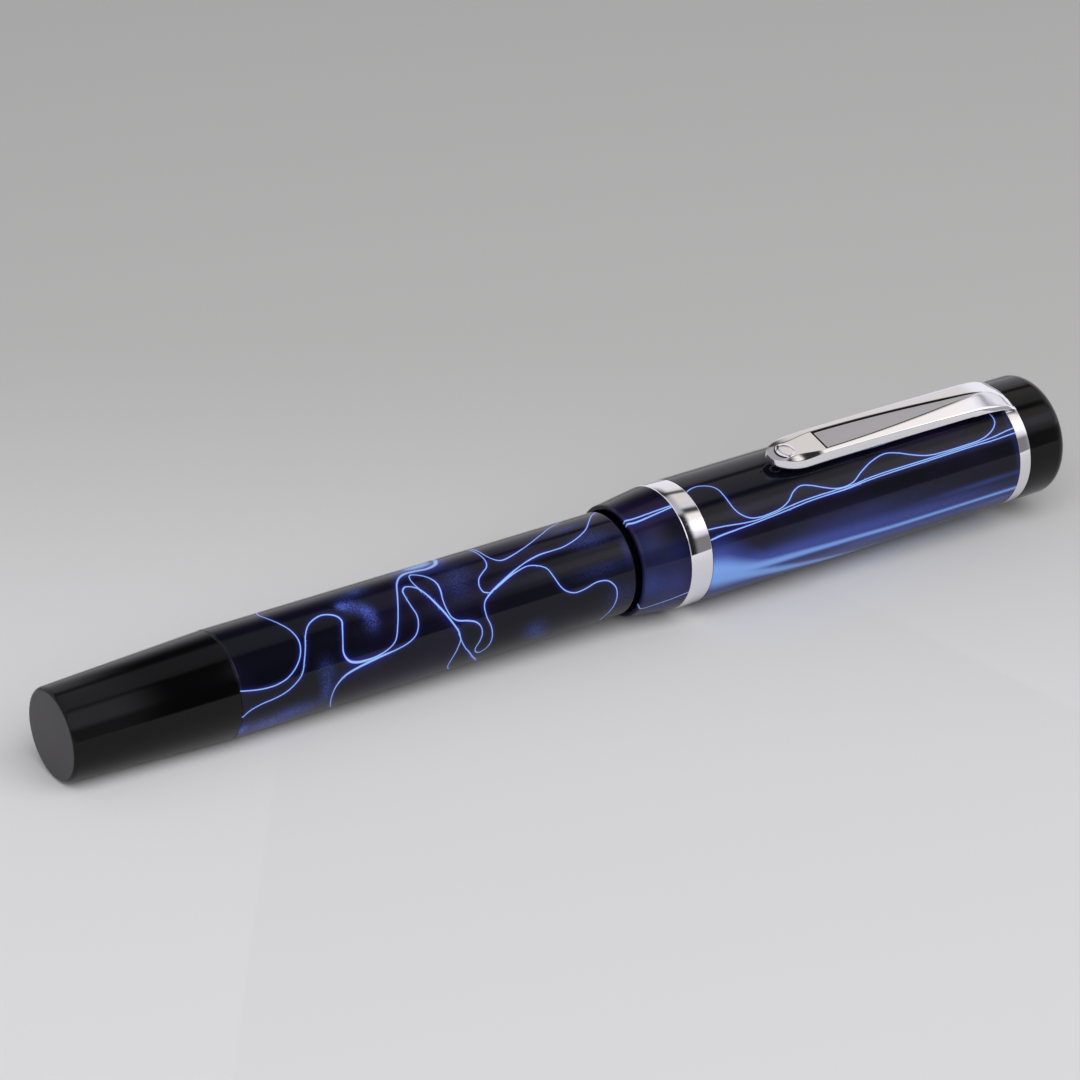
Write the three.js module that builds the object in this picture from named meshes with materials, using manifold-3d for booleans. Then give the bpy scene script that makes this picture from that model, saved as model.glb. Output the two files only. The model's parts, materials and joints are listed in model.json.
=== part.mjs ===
// A flat-top fountain pen, capped: barrel, grip section with nib and feed, a screw
// converter inside the barrel, and a screw cap with its liner, band, ring, clip and crown.
// Millimetres, +Z up. Stations run along +X from the flat face of the barrel's black end;
// the pen lies on its cap, so its axis is one cap radius above the ground.

import * as THREE from "three";
import { mergeVertices } from "three/addons/utils/BufferGeometryUtils.js";
import Module from "manifold-3d";

// ---- driving dimensions ----------------------------------------------------------------

const penLength = 136.8;
const capRadius = 7.5;

// stations of the outside, from the black end to the crown
const endPieceLength = 20.0;
const barrelMouth = 72.6;
const lipStart = 73.3;
const bandStart = 79.4;
const tubeStart = 82.5;
const ringStart = 128.8;
const crownStart = 130.5;

// outside radii
const endFaceRadius = 5.36;
const seamRadius = 6.24;
const mouthRadius = 6.15;
const lipRadius = 6.7;

// stations of the inside
const gripEnd = 97.0;
const nibTip = 117.0;
const linerStart = 98.0;
const linerEnd = 124.0;
const converterMouth = 79.0;
const converterBack = 42.0;
const knobStart = 16.0;
const pistonStart = 44.5;

// fits: a glued or screwed seat, a running fit, and the crest clearance of a thread
const seat = 0.03;
const running = 0.1;
const threadPitch = 1.1;

// the cap is cut with a few broad flats, so that a round pen still rests where it is laid
const capSides = 24;
const turnedSides = 28;
const smallSides = 16;

// clip: angle about the axis from straight up, and heights above the pen's axis
const clipRoll = 15;
const clipTop = 9.5;
const clipShoulder = 8.5;
const clipUnder = 7.95;
const clipHalfWidth = 2.1;
const clipTip = 94.0;

// ---- materials -------------------------------------------------------------------------

const finish = (color, roughness, metalness) => ({ color, roughness, metalness });
const swirlResin = finish(0x141a44, 0.15, 0.0);
const blackResin = finish(0x101012, 0.2, 0.0);
const chrome = finish(0xd8d8dc, 0.12, 1.0);
const steel = finish(0xb4b4b8, 0.3, 1.0);
const brass = finish(0xb08d4a, 0.35, 1.0);
const clearPlastic = finish(0xd5dde2, 0.08, 0.0);
const blackRubber = finish(0x1a1a1a, 0.8, 0.0);
const whitePlastic = finish(0xdadad6, 0.5, 0.0);

const pen = new THREE.Group();
pen.position.set(-penLength / 2, 0, capRadius);

const addPiece = (name, geometry, look) => {
  const material = new THREE.MeshStandardMaterial(look);
  const mesh = new THREE.Mesh(geometry, material);
  mesh.name = name;
  pen.add(mesh);
  return mesh;
};

// ---- helpers ---------------------------------------------------------------------------

// Six times the signed volume is positive when the faces look outward.
const turnOutward = (geometry) => {
  const position = geometry.attributes.position;
  const index = geometry.index.array;
  const corner = [new THREE.Vector3(), new THREE.Vector3(), new THREE.Vector3()];
  let volume = 0;
  for (let i = 0; i < index.length; i += 3) {
    corner.forEach((c, k) => c.fromBufferAttribute(position, index[i + k]));
    volume += corner[0].dot(corner[1].cross(corner[2]));
  }
  if (volume < 0) {
    for (let i = 0; i < index.length; i += 3) {
      [index[i], index[i + 1]] = [index[i + 1], index[i]];
    }
  }
  return geometry;
};

// A turned piece: [station, radius] points around its section. The first and last point
// lie on the axis, or the outline closes on itself. Flats face straight up and down, and
// the radii given are those of the flats when `acrossFlats` is set.
const turned = (points, sides = turnedSides, acrossFlats = false) => {
  const grow = acrossFlats ? 1 / Math.cos(Math.PI / sides) : 1;
  const outline = points.map(([station, radius]) => new THREE.Vector2(radius * grow, station));
  const onAxis = points[0][1] === 0 && points[points.length - 1][1] === 0;
  if (!onAxis) {
    outline.push(outline[0].clone());
  }
  let geometry = new THREE.LatheGeometry(outline, sides, Math.PI / sides, 2 * Math.PI);
  geometry.rotateZ(-Math.PI / 2);
  geometry.deleteAttribute("normal");
  geometry.deleteAttribute("uv");
  geometry = mergeVertices(geometry, 1e-4);
  return turnOutward(withoutSlivers(geometry));
};

// Merging turns the ring of points on the axis into one, and leaves triangles with two
// equal corners there; those are dropped.
const withoutSlivers = (geometry) => {
  const index = geometry.index.array;
  const kept = [];
  for (let i = 0; i < index.length; i += 3) {
    const [a, b, c] = [index[i], index[i + 1], index[i + 2]];
    if (a !== b && b !== c && c !== a) {
      kept.push(a, b, c);
    }
  }
  geometry.setIndex(kept);
  return geometry;
};

// Points of a quarter-round edge from one corner to the other, bulging outward.
const roundedEdge = (from, to, steps, alongFirst) => {
  const points = [];
  for (let i = 0; i <= steps; i += 1) {
    const angle = (i / steps) * (Math.PI / 2);
    const near = alongFirst ? Math.sin(angle) : 1 - Math.cos(angle);
    const far = alongFirst ? 1 - Math.cos(angle) : Math.sin(angle);
    points.push([from[0] + (to[0] - from[0]) * near, from[1] + (to[1] - from[1]) * far]);
  }
  return points;
};

// Ridges of a thread, as a run of points between two stations.
const threadRun = (start, end, root, crest, lead = threadPitch) => {
  const turns = Math.round(Math.abs(end - start) / lead);
  const pitch = (end - start) / turns;
  const points = [];
  for (let i = 0; i < turns; i += 1) {
    const foot = start + i * pitch;
    points.push([foot + pitch * 0.15, root]);
    points.push([foot + pitch * 0.4, crest]);
    points.push([foot + pitch * 0.6, crest]);
    points.push([foot + pitch * 0.85, root]);
  }
  return points;
};

const wasm = await Module();
wasm.setup();

const toSolid = (geometry) => {
  let clean = geometry.clone();
  clean.deleteAttribute("normal");
  clean.deleteAttribute("uv");
  clean = mergeVertices(clean, 1e-5);
  return new wasm.Manifold(
    new wasm.Mesh({
      numProp: 3,
      vertProperties: new Float32Array(clean.attributes.position.array),
      triVerts: new Uint32Array(clean.index.array),
    }),
  );
};

const fromSolid = (solid) => {
  const mesh = solid.getMesh();
  const geometry = new THREE.BufferGeometry();
  geometry.setAttribute("position", new THREE.BufferAttribute(mesh.vertProperties, 3));
  geometry.setIndex(new THREE.BufferAttribute(mesh.triVerts, 1));
  return geometry;
};

const box = (low, high) => {
  const size = high.map((value, axis) => value - low[axis]);
  const geometry = new THREE.BoxGeometry(...size);
  geometry.translate(...low.map((value, axis) => value + size[axis] / 2));
  return toSolid(geometry);
};

// A closed skin over rings of equal length, with a flat cap on each end.
const loft = (rings) => {
  const count = rings[0].length;
  const positions = rings.flat(2);
  const index = [];
  for (let ring = 0; ring + 1 < rings.length; ring += 1) {
    for (let k = 0; k < count; k += 1) {
      const here = ring * count + k;
      const next = ring * count + ((k + 1) % count);
      index.push(here, next, next + count);
      index.push(here, next + count, here + count);
    }
  }
  for (const [ring, flip] of [[0, true], [rings.length - 1, false]]) {
    for (let k = 1; k + 1 < count; k += 1) {
      const fan = [ring * count, ring * count + k, ring * count + k + 1];
      index.push(...(flip ? [fan[0], fan[2], fan[1]] : fan));
    }
  }
  const geometry = new THREE.BufferGeometry();
  geometry.setAttribute("position", new THREE.Float32BufferAttribute(positions, 3));
  geometry.setIndex(index);
  return turnOutward(geometry);
};

// ---- barrel: black end piece, swirled tube, threaded bush -------------------------------

const tenonRadius = 4.85;
const tenonEnd = 26.0;
const knobRoom = 4.0;
const bushRadius = 4.98;
const bushStart = 60.2;
const bushEnd = 71.4;
const bushCrest = 4.45;

addPiece("barrel_end", turned([
  [0, 0],
  ...roundedEdge([0, endFaceRadius - 0.3], [0.3, endFaceRadius], 3, false),
  [endPieceLength, seamRadius],
  [endPieceLength, tenonRadius],
  [tenonEnd, tenonRadius],
  [tenonEnd, knobRoom],
  [5.0, knobRoom],
  [5.0, 0],
]), blackResin);

addPiece("barrel", turned([
  [endPieceLength + seat, tenonRadius + seat],
  [endPieceLength + seat, seamRadius],
  [barrelMouth - 0.5, mouthRadius],
  ...roundedEdge([barrelMouth - 0.5, mouthRadius], [barrelMouth, mouthRadius - 0.5], 4, true).slice(1),
  [barrelMouth, bushRadius + seat],
  [bushStart - seat, bushRadius + seat],
  [bushStart - seat, 4.55],
  [tenonEnd + seat, 4.55],
  [tenonEnd + seat, tenonRadius + seat],
]), swirlResin);

addPiece("barrel_bush", turned([
  [bushStart, bushRadius],
  [bushEnd, bushRadius],
  [bushEnd, bushCrest + 0.2],
  ...threadRun(bushEnd, bushStart, bushCrest + 0.2, bushCrest),
  [bushStart, bushCrest + 0.2],
]), brass);

// ---- section: sleeve, seal ring, grip, nib housing, feed and nib ------------------------

const sleeveRadius = 4.3;
const sleeveBore = 3.85;
const sleeveStart = 62.0;
const sleeveEnd = 80.0;
const sealStation = 72.05;
const gripStart = 72.8;
const housingRadius = 3.95;

addPiece("section_sleeve", turned([
  [sleeveStart, sleeveBore],
  [sleeveStart, sleeveRadius - 0.2],
  ...threadRun(sleeveStart, bushEnd - 0.6, sleeveRadius - 0.2, sleeveRadius),
  [sealStation - 0.45, sleeveRadius - 0.2],
  [sealStation - 0.45, sleeveRadius - 0.32],
  [sealStation + 0.45, sleeveRadius - 0.32],
  [sealStation + 0.45, sleeveRadius],
  [sleeveEnd, sleeveRadius],
  [sleeveEnd, sleeveBore],
]), steel);

const sealRadius = 0.35;
const sealRing = Array.from({ length: 10 }, (_, k) => {
  const angle = (k / 10) * 2 * Math.PI;
  const middle = sleeveRadius - 0.3 + sealRadius + seat;
  return [sealStation + sealRadius * Math.cos(angle), middle + sealRadius * Math.sin(angle)];
});
addPiece("seal_ring", turned(sealRing, turnedSides), blackRubber);

addPiece("section_grip", turned([
  [gripStart, sleeveRadius + running],
  [gripStart, 5.6],
  [gripStart + 1.0, 5.6],
  ...threadRun(gripStart + 1.2, 79.0, 5.45, 5.72),
  [79.3, 5.3],
  [80.2, 5.15],
  [85.0, 4.9],
  [90.5, 4.75],
  [94.5, 4.8],
  [96.2, 5.05],
  [96.8, 5.02],
  [gripEnd, 4.85],
  [gripEnd, housingRadius + seat],
  [sleeveEnd + 0.2, housingRadius + seat],
  [sleeveEnd + 0.2, sleeveRadius + running],
]), blackResin);

const nippleRadius = 1.25;
const housingBore = 3.1;
addPiece("nib_housing", turned([
  [76.0, 0.6],
  [76.0, nippleRadius - 0.2],
  [76.5, nippleRadius],
  [80.4, nippleRadius],
  [80.4, housingRadius],
  [gripEnd + seat, housingRadius],
  [gripEnd + seat, 4.4],
  [gripEnd + 0.5, 4.4],
  [gripEnd + 0.7, 4.2],
  [gripEnd + 0.7, housingBore],
  [84.0, housingBore],
  [84.0, 0.6],
]), blackResin);

// The nib is a sheet wrapped around the feed: a round tail, wide shoulders, and two tines
// that run to a small ball-shaped point. Half-widths are measured round the sheet.
const nibThickness = 0.3;
const nibTail = 86.0;
const nibShoulder = 99.5;
const nibTopRadius = housingBore - 0.06;
const nibHalfWidth = (s) => {
  if (s < 97.6) {
    return 3.6;
  }
  if (s < nibShoulder) {
    return 3.6 + 0.5 * Math.sin(((s - 97.6) / (nibShoulder - 97.6)) * (Math.PI / 2));
  }
  const t = (s - nibShoulder) / (nibTip - 0.4 - nibShoulder);
  return 4.1 * Math.pow(1 - t, 0.85) + 0.28 * t;
};
const nibWrapRadius = (s) => nibTopRadius + 2.6 * THREE.MathUtils.smoothstep(s, 97.0, 110.0);
const nibCrest = (s) => nibTopRadius - 0.9 * Math.pow(Math.max(0, s - 100) / 17, 2);
const nibRing = (s) => {
  const across = 8;
  const ring = [];
  for (const [inset, direction] of [[0, 1], [nibThickness, -1]]) {
    for (let k = 0; k <= across; k += 1) {
      const side = direction * (-1 + (2 * k) / across);
      const angle = (side * nibHalfWidth(s)) / nibWrapRadius(s);
      const radius = nibWrapRadius(s) - inset;
      const middle = nibCrest(s) - nibWrapRadius(s);
      ring.push([s, radius * Math.sin(angle), middle + radius * Math.cos(angle)]);
    }
  }
  return ring;
};
const nibStations = [
  nibTail, 91.5, 97.0, 97.6, 98.5, nibShoulder, 101, 103, 105, 107, 109, 111, 113, 114.6, 116, nibTip - 0.4,
];
const nibPoint = new THREE.SphereGeometry(0.42, 12, 8);
nibPoint.translate(nibTip - 0.42, 0, nibCrest(nibTip) - 0.2);
const breather = new THREE.CylinderGeometry(0.65, 0.65, 3, 16);
breather.rotateX(Math.PI / 2);
breather.translate(103.5, 0, 3);
addPiece("nib", fromSolid(
  toSolid(loft(nibStations.map(nibRing)))
    .add(toSolid(nibPoint))
    .subtract(toSolid(breather))
    .subtract(box([103.5, -0.07, 0], [nibTip + 1, 0.07, 5])),
), steel);

// The feed lies under the nib: a half-round finger, combed with thin fins below.
const feedRadius = nibTopRadius - nibThickness - 0.08;
const feedTip = 112.5;
const feedOutline = new THREE.Shape();
feedOutline.moveTo(84.3, -feedRadius - 1);
feedOutline.lineTo(99.0, -feedRadius - 1);
feedOutline.quadraticCurveTo(107.0, -feedRadius * 0.9, feedTip, nibCrest(feedTip) - 0.9);
feedOutline.lineTo(feedTip, nibCrest(feedTip) - nibThickness - 0.3);
feedOutline.lineTo(106.0, nibCrest(106.0) - nibThickness - 0.3);
feedOutline.lineTo(101.0, nibCrest(101.0) - nibThickness - 0.15);
feedOutline.lineTo(84.3, feedRadius + 1);
const feedSide = new THREE.ExtrudeGeometry(feedOutline, { depth: 8, bevelEnabled: false, curveSegments: 6 });
feedSide.rotateX(Math.PI / 2);
feedSide.translate(0, 4, 0);
let feedSolid = toSolid(feedSide).intersect(toSolid(turned([
  [84.2, 0],
  [84.2, feedRadius],
  [feedTip + 1, feedRadius],
  [feedTip + 1, 0],
], 24)));
const finPitch = 0.9;
for (let s = gripEnd + 1.2; s < 109.0; s += finPitch) {
  feedSolid = feedSolid.subtract(box([s, -4, -4], [s + finPitch * 0.45, 4, 0.2]));
}
addPiece("feed", fromSolid(feedSolid), blackResin);

// ---- converter: clear tube, metal collar, piston, screw rod and knob ---------------------

const converterRadius = 3.6;
const converterBore = 3.05;

addPiece("converter_tube", turned([
  [converterBack, converterBore],
  [converterBack, converterRadius],
  [converterMouth - 0.4, converterRadius],
  [converterMouth, converterRadius - 0.4],
  [converterMouth, nippleRadius + running],
  [74.0, nippleRadius + running],
  [73.0, converterBore],
]), clearPlastic);

const rodRadius = 1.1;
const collarRadius = 3.85;
addPiece("converter_collar", turned([
  [36.0, rodRadius + running],
  [36.0, converterRadius],
  [36.4, collarRadius],
  [46.6, collarRadius],
  [47.0, converterRadius + seat],
  [converterBack - seat, converterRadius + seat],
  [converterBack - seat, converterBore],
  [37.6, converterBore],
  [37.6, rodRadius + running],
]), chrome);

addPiece("piston_seal", turned([
  [pistonStart, rodRadius + seat],
  [pistonStart, converterBore - 0.15],
  [pistonStart + 0.5, converterBore - 0.05],
  [pistonStart + 1.0, converterBore - 0.25],
  [pistonStart + 3.0, converterBore - 0.25],
  [pistonStart + 3.5, converterBore - 0.05],
  [pistonStart + 4.0, converterBore - 0.15],
  [pistonStart + 4.0, rodRadius + seat],
]), blackRubber);

addPiece("piston_rod", turned([
  [knobStart + 3.0, 0],
  [knobStart + 3.0, rodRadius - 0.2],
  ...threadRun(knobStart + 3.2, pistonStart - 1.5, rodRadius - 0.2, rodRadius, 2.2),
  [pistonStart - 1.0, rodRadius],
  [pistonStart - 1.0, 1.8],
  [pistonStart - seat, 1.8],
  [pistonStart - seat, rodRadius],
  [pistonStart + 4.4, rodRadius],
  [pistonStart + 4.4, 0],
], smallSides), whitePlastic);

const knobRadius = 3.55;
addPiece("converter_knob", turned([
  [knobStart, 0],
  [knobStart, knobRadius - 0.5],
  [knobStart + 0.5, knobRadius],
  [knobStart + 5.0, knobRadius],
  [knobStart + 5.4, knobRadius - 0.3],
  [knobStart + 6.2, knobRadius - 0.3],
  [knobStart + 6.6, knobRadius],
  [knobStart + 18.4, knobRadius],
  [knobStart + 19.0, knobRadius - 0.5],
  [knobStart + 19.8, knobRadius - 0.5],
  [knobStart + 19.8, rodRadius + 0.25],
  [knobStart + 2.0, rodRadius + 0.25],
  [knobStart + 2.0, 0],
], smallSides), blackResin);

// ---- cap: lip, band, tube, liner, ring, stud and crown ----------------------------------

const lipCrest = 5.95;
const lipTenon = 6.8;
const lipTenonEnd = 85.0;
const tubeBore = 6.35;
const studBore = 4.62;

addPiece("cap_lip", turned([
  [lipStart, lipCrest + 0.25],
  [lipStart, lipRadius - 0.35],
  ...roundedEdge([lipStart, lipRadius - 0.35], [lipStart + 0.6, lipRadius], 4, false).slice(1),
  [75.0, 6.9],
  [77.2, 7.2],
  [bandStart - seat, capRadius - 0.06],
  [bandStart - seat, lipTenon],
  [lipTenonEnd, lipTenon],
  [lipTenonEnd, tubeBore],
  [80.4, tubeBore],
  [80.2, lipCrest + 0.25],
  ...threadRun(79.8, 74.4, lipCrest + 0.25, lipCrest),
], capSides, true), swirlResin);

addPiece("cap_band", turned([
  [bandStart, lipTenon + seat],
  [bandStart, capRadius - 0.12],
  [bandStart + 0.12, capRadius],
  [tubeStart - seat - 0.12, capRadius],
  [tubeStart - seat, capRadius - 0.12],
  [tubeStart - seat, lipTenon + seat],
], capSides, true), chrome);

addPiece("cap_tube", turned([
  [tubeStart, lipTenon + seat],
  [tubeStart, capRadius],
  [ringStart - seat, capRadius],
  [ringStart - seat, studBore],
  [linerEnd + 0.2, studBore],
  [linerEnd + 0.2, tubeBore],
  [lipTenonEnd + 0.2, tubeBore],
  [lipTenonEnd + 0.2, lipTenon + seat],
], capSides, true), swirlResin);

addPiece("inner_cap", turned([
  [linerStart, 5.1],
  [linerStart, 6.05],
  [linerStart + 0.6, tubeBore - running],
  [linerEnd, tubeBore - running],
  [linerEnd, 0],
  [linerEnd - 1.2, 0],
  [linerEnd - 1.2, 4.6],
  [linerEnd - 3.0, 5.1],
]), blackResin);

addPiece("clip_ring", turned([
  [ringStart, studBore],
  [ringStart, capRadius],
  [crownStart - seat, capRadius],
  [crownStart - seat, studBore],
], capSides, true), chrome);

addPiece("crown_stud", turned([
  [linerEnd + 0.4, 0],
  [linerEnd + 0.4, studBore - 0.3],
  ...threadRun(linerEnd + 0.6, ringStart - 0.2, studBore - 0.27, studBore - 0.07),
  [crownStart - 0.1, studBore - 0.07],
  [crownStart - 0.1, 2.95],
  [134.0, 2.95],
  [134.0, 0],
], capSides, true), brass);

const crownCorner = [2.2, 3.0];
addPiece("cap_crown", turned([
  [134.2, 0],
  [134.2, 2.95 + seat],
  [crownStart, 2.95 + seat],
  [crownStart, capRadius],
  ...roundedEdge(
    [penLength - crownCorner[0], capRadius],
    [penLength, capRadius - crownCorner[1]],
    6,
    true,
  ),
  [penLength, 0],
], capSides, true), blackResin);

// ---- clip: a bevelled bar over the cap with a sunk tapering panel, and its ball ----------

const clip = new THREE.Group();
clip.rotation.x = (clipRoll * Math.PI) / 180;
pen.add(clip);

const panelWide = 101.4;
const panelPoint = 127.0;
const panelHalf = 1.6;
const panelDepth = 0.4;
const tipLength = 4.8;

// Half-width of the bar: a rounded nose, then parallel sides.
const barHalf = (s) => {
  const t = THREE.MathUtils.clamp((s - clipTip) / tipLength, 0, 1);
  return 0.35 + (clipHalfWidth - 0.35) * Math.sqrt(1 - Math.pow(1 - t, 2));
};
// Half-width of its flat top, which narrows with the panel from the wide end to the root.
const flatHalf = (s) => {
  const taper = (panelPoint - Math.max(s, panelWide)) / (panelPoint - panelWide);
  const wide = 0.25 + (panelHalf + 0.05) * Math.max(0, taper);
  return Math.min(wide, barHalf(s) * 0.86);
};
// The nose curls up and thins toward the tip; the root drops onto the ring.
const barSection = (s) => {
  const nose = Math.pow(THREE.MathUtils.clamp((98.5 - s) / 4.5, 0, 1), 2);
  const root = Math.pow(THREE.MathUtils.clamp((s - 124.0) / 4.6, 0, 1), 2);
  const top = clipTop - 0.45 * nose - 0.25 * root;
  const under = clipUnder + 0.55 * nose;
  const skirt = clipUnder + 0.55 * nose - 0.3 * root;
  const shoulder = clipShoulder + 0.25 * nose - 0.2 * root;
  const half = barHalf(s);
  const flat = flatHalf(s);
  return [
    [s, -half, skirt],
    [s, -half, shoulder],
    [s, -flat, top],
    [s, flat, top],
    [s, half, shoulder],
    [s, half, skirt],
    [s, half * 0.5, under - 0.15 * root],
    [s, -half * 0.5, under - 0.15 * root],
  ];
};
const barStations = [];
for (let k = 0; k <= 7; k += 1) {
  barStations.push(clipTip + tipLength * (1 - Math.cos((k / 7) * (Math.PI / 2))));
}
barStations.push(panelWide, 108.0, 116.0, 122.0, 124.0, 125.5, 127.0, 128.2, crownStart - 0.1);

const panel = new THREE.Shape();
panel.moveTo(panelWide, -panelHalf);
panel.lineTo(panelPoint - 0.4, -0.03);
panel.lineTo(panelPoint - 0.4, 0.03);
panel.lineTo(panelWide, panelHalf);
const panelCut = new THREE.ExtrudeGeometry(panel, { depth: 2, bevelEnabled: false });
panelCut.translate(0, 0, clipTop - panelDepth);

const ballStation = 95.6;
const ballRadius = 0.85;
const ballHeight = 8.52;
const ball = new THREE.SphereGeometry(ballRadius, 16, 12);
ball.rotateX(Math.PI / 2);
ball.translate(ballStation, 0, ballHeight);
const ballSeat = new THREE.SphereGeometry(ballRadius + 0.05, 16, 12);
ballSeat.rotateX(Math.PI / 2);
ballSeat.translate(ballStation, 0, ballHeight);

const rivetHead = new THREE.CylinderGeometry(1.15, 1.25, 0.6, 24);
rivetHead.rotateX(Math.PI / 2);
rivetHead.translate(96.9, 0, clipTop - 0.2);

const clipBar = addPiece("clip", fromSolid(
  toSolid(loft(barStations.map(barSection)))
    .subtract(toSolid(panelCut))
    .add(toSolid(rivetHead))
    .subtract(toSolid(ballSeat)),
), chrome);
const clipBall = addPiece("clip_ball", ball, chrome);
clip.add(clipBar, clipBall);

export default pen;
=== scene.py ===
import json
import math

import bmesh
import bpy
import numpy as np
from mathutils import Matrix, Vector


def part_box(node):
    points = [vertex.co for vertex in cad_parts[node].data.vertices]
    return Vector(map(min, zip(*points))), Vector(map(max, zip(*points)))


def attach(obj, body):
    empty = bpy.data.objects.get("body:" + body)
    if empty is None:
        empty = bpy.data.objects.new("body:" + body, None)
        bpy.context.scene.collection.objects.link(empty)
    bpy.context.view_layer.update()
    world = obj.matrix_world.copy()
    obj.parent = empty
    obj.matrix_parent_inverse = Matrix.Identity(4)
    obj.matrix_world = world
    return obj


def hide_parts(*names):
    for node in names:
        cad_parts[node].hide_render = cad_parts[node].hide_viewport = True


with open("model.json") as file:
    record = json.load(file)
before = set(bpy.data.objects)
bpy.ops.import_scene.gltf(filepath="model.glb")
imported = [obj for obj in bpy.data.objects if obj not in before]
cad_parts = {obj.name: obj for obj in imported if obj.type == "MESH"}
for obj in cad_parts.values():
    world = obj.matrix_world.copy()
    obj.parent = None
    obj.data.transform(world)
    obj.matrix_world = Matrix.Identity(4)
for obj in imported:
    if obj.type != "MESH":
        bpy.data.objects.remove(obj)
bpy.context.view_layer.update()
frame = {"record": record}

# ---- Barrel end ----------------------------------------------------------------------
# The blind end of the barrel: a slightly tapered piece turned from black resin, hollow
# inside for the converter's knob, polished on the outside and sanded matt on its face.
# Its tenon is glued into the swirled tube, which leaves one hairline seam.

MM = 0.001
pen_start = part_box("barrel_end")[0].x
axis_height = (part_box("cap_band")[0].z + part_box("cap_band")[1].z) / 2
SIDES = 128


def reach(node):
    """Start, end and outside radius of a CAD node, in mm along the pen from its black end."""
    low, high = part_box(node)
    return (low.x - pen_start) / MM, (high.x - pen_start) / MM, (high.z - low.z) / 2 / MM


def rounded(outline, steps=4):
    """Replaces each corner given as (station, radius, corner radius) with an arc."""
    points = []
    count = len(outline)
    for k, corner in enumerate(outline):
        here = np.array(corner[:2], dtype=float)
        size = corner[2] if len(corner) > 2 else 0.0
        if size == 0.0 or k in (0, count - 1) and outline[0][1] == 0.0 == outline[-1][1]:
            points.append(here)
            continue
        back = np.array(outline[k - 1][:2], dtype=float) - here
        ahead = np.array(outline[(k + 1) % count][:2], dtype=float) - here
        reach_back, reach_ahead = np.linalg.norm(back), np.linalg.norm(ahead)
        size = min(size, 0.49 * reach_back, 0.49 * reach_ahead)
        first = here + back / reach_back * size
        last = here + ahead / reach_ahead * size
        for i in range(steps + 1):
            t = i / steps
            points.append((1 - t) ** 2 * first + 2 * t * (1 - t) * here + t * t * last)
    return points


def mesh_object(name, vertices, faces, materials, crease=35.0):
    """An object from metre coordinates, smooth except at edges sharper than the crease angle."""
    mesh = bpy.data.meshes.new(name)
    mesh.from_pydata(vertices, [], faces)
    mesh.validate()
    for material in materials:
        mesh.materials.append(material)
    mesh.shade_smooth()
    mesh.set_sharp_from_angle(angle=math.radians(crease))
    piece = bpy.data.objects.new(name, mesh)
    bpy.context.scene.collection.objects.link(piece)
    return piece


def around(station, radius, angle):
    """A point of the pen. Angles turn from straight up towards -Y, so right-handed about +X."""
    return (
        pen_start + station * MM,
        -radius * MM * math.sin(angle),
        axis_height + radius * MM * math.cos(angle),
    )


# Over one pitch a thread is a ridge cut off level at its full height, with a level root.
RIDGE_PEAK, RIDGE_FALL = 1.6, 4.0


def turned(name, outline, materials, sides=SIDES, pitch=1.0, crease=35.0):
    """A lathe-turned piece. Outline points are (station, radius) or (station, radius, ridge),
    where ridge is the height of a right-handed thread at that point. The outline closes on
    itself, or starts and ends on the axis."""
    solid = outline[0][1] == 0 and outline[-1][1] == 0
    vertices = []
    rings = []
    for point in outline:
        station, radius = point[0], point[1]
        ridge = point[2] if len(point) > 2 else 0.0
        if radius == 0:
            rings.append([len(vertices)] * sides)
            vertices.append(around(station, 0, 0))
            continue
        ring = []
        for k in range(sides):
            angle = 2 * math.pi * k / sides
            phase = (station / pitch - k / sides) % 1.0
            height = max(0.0, min(1.0, RIDGE_PEAK - RIDGE_FALL * abs(phase - 0.5)))
            ring.append(len(vertices))
            vertices.append(around(station, radius + ridge * height, angle))
        rings.append(ring)
    if not solid:
        rings.append(rings[0])
    faces = []
    for first, second in zip(rings, rings[1:]):
        for k in range(sides):
            corners = [first[k], first[(k + 1) % sides], second[(k + 1) % sides], second[k]]
            face = list(dict.fromkeys(corners))
            if len(face) > 2:
                faces.append(face)
    piece = mesh_object(name, vertices, faces, materials, crease)
    face_outward(piece)
    return piece


def face_outward(piece):
    """Turns all faces of a closed piece to look out of it."""
    shell = bmesh.new()
    shell.from_mesh(piece.data)
    bmesh.ops.recalc_face_normals(shell, faces=shell.faces)
    shell.to_mesh(piece.data)
    shell.free()


def stand_for(piece, node):
    """The finished piece takes the CAD node's place and moves with its body."""
    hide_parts(node)
    for body, members in frame["record"]["behaviour"]["bodies"].items():
        if node in members:
            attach(piece, body)


def add(tree, kind, **settings):
    """A shader node with its settings; names of inputs are written with underscores."""
    node = tree.nodes.new(kind)
    for name, value in settings.items():
        label = name.replace("_", " ")
        if label in node.inputs:
            node.inputs[label].default_value = value
        else:
            setattr(node, name, value)
    return node


def fresh_material(name, **settings):
    """A material with one Principled shader, and the place of the pen's own surface."""
    material = bpy.data.materials.new(name)
    material.use_nodes = True
    shader = material.node_tree.nodes["Principled BSDF"]
    for label, value in settings.items():
        shader.inputs[label.replace("_", " ")].default_value = value
    place = add(material.node_tree, "ShaderNodeTexCoord")
    return material, material.node_tree, shader, place.outputs["Object"]


def shader_group(name, inputs, outputs):
    """An empty shader group with the given float inputs and typed outputs."""
    group = bpy.data.node_groups.new(name, "ShaderNodeTree")
    for label, kind, value in inputs:
        socket = group.interface.new_socket(label, in_out="INPUT", socket_type=kind)
        socket.default_value = value
    for label, kind in outputs:
        group.interface.new_socket(label, in_out="OUTPUT", socket_type=kind)
    start = group.nodes.new("NodeGroupInput")
    end = group.nodes.new("NodeGroupOutput")
    return group, start.outputs, end.inputs


FLOAT, COLOR, VECTOR = "NodeSocketFloat", "NodeSocketColor", "NodeSocketVector"


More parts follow.
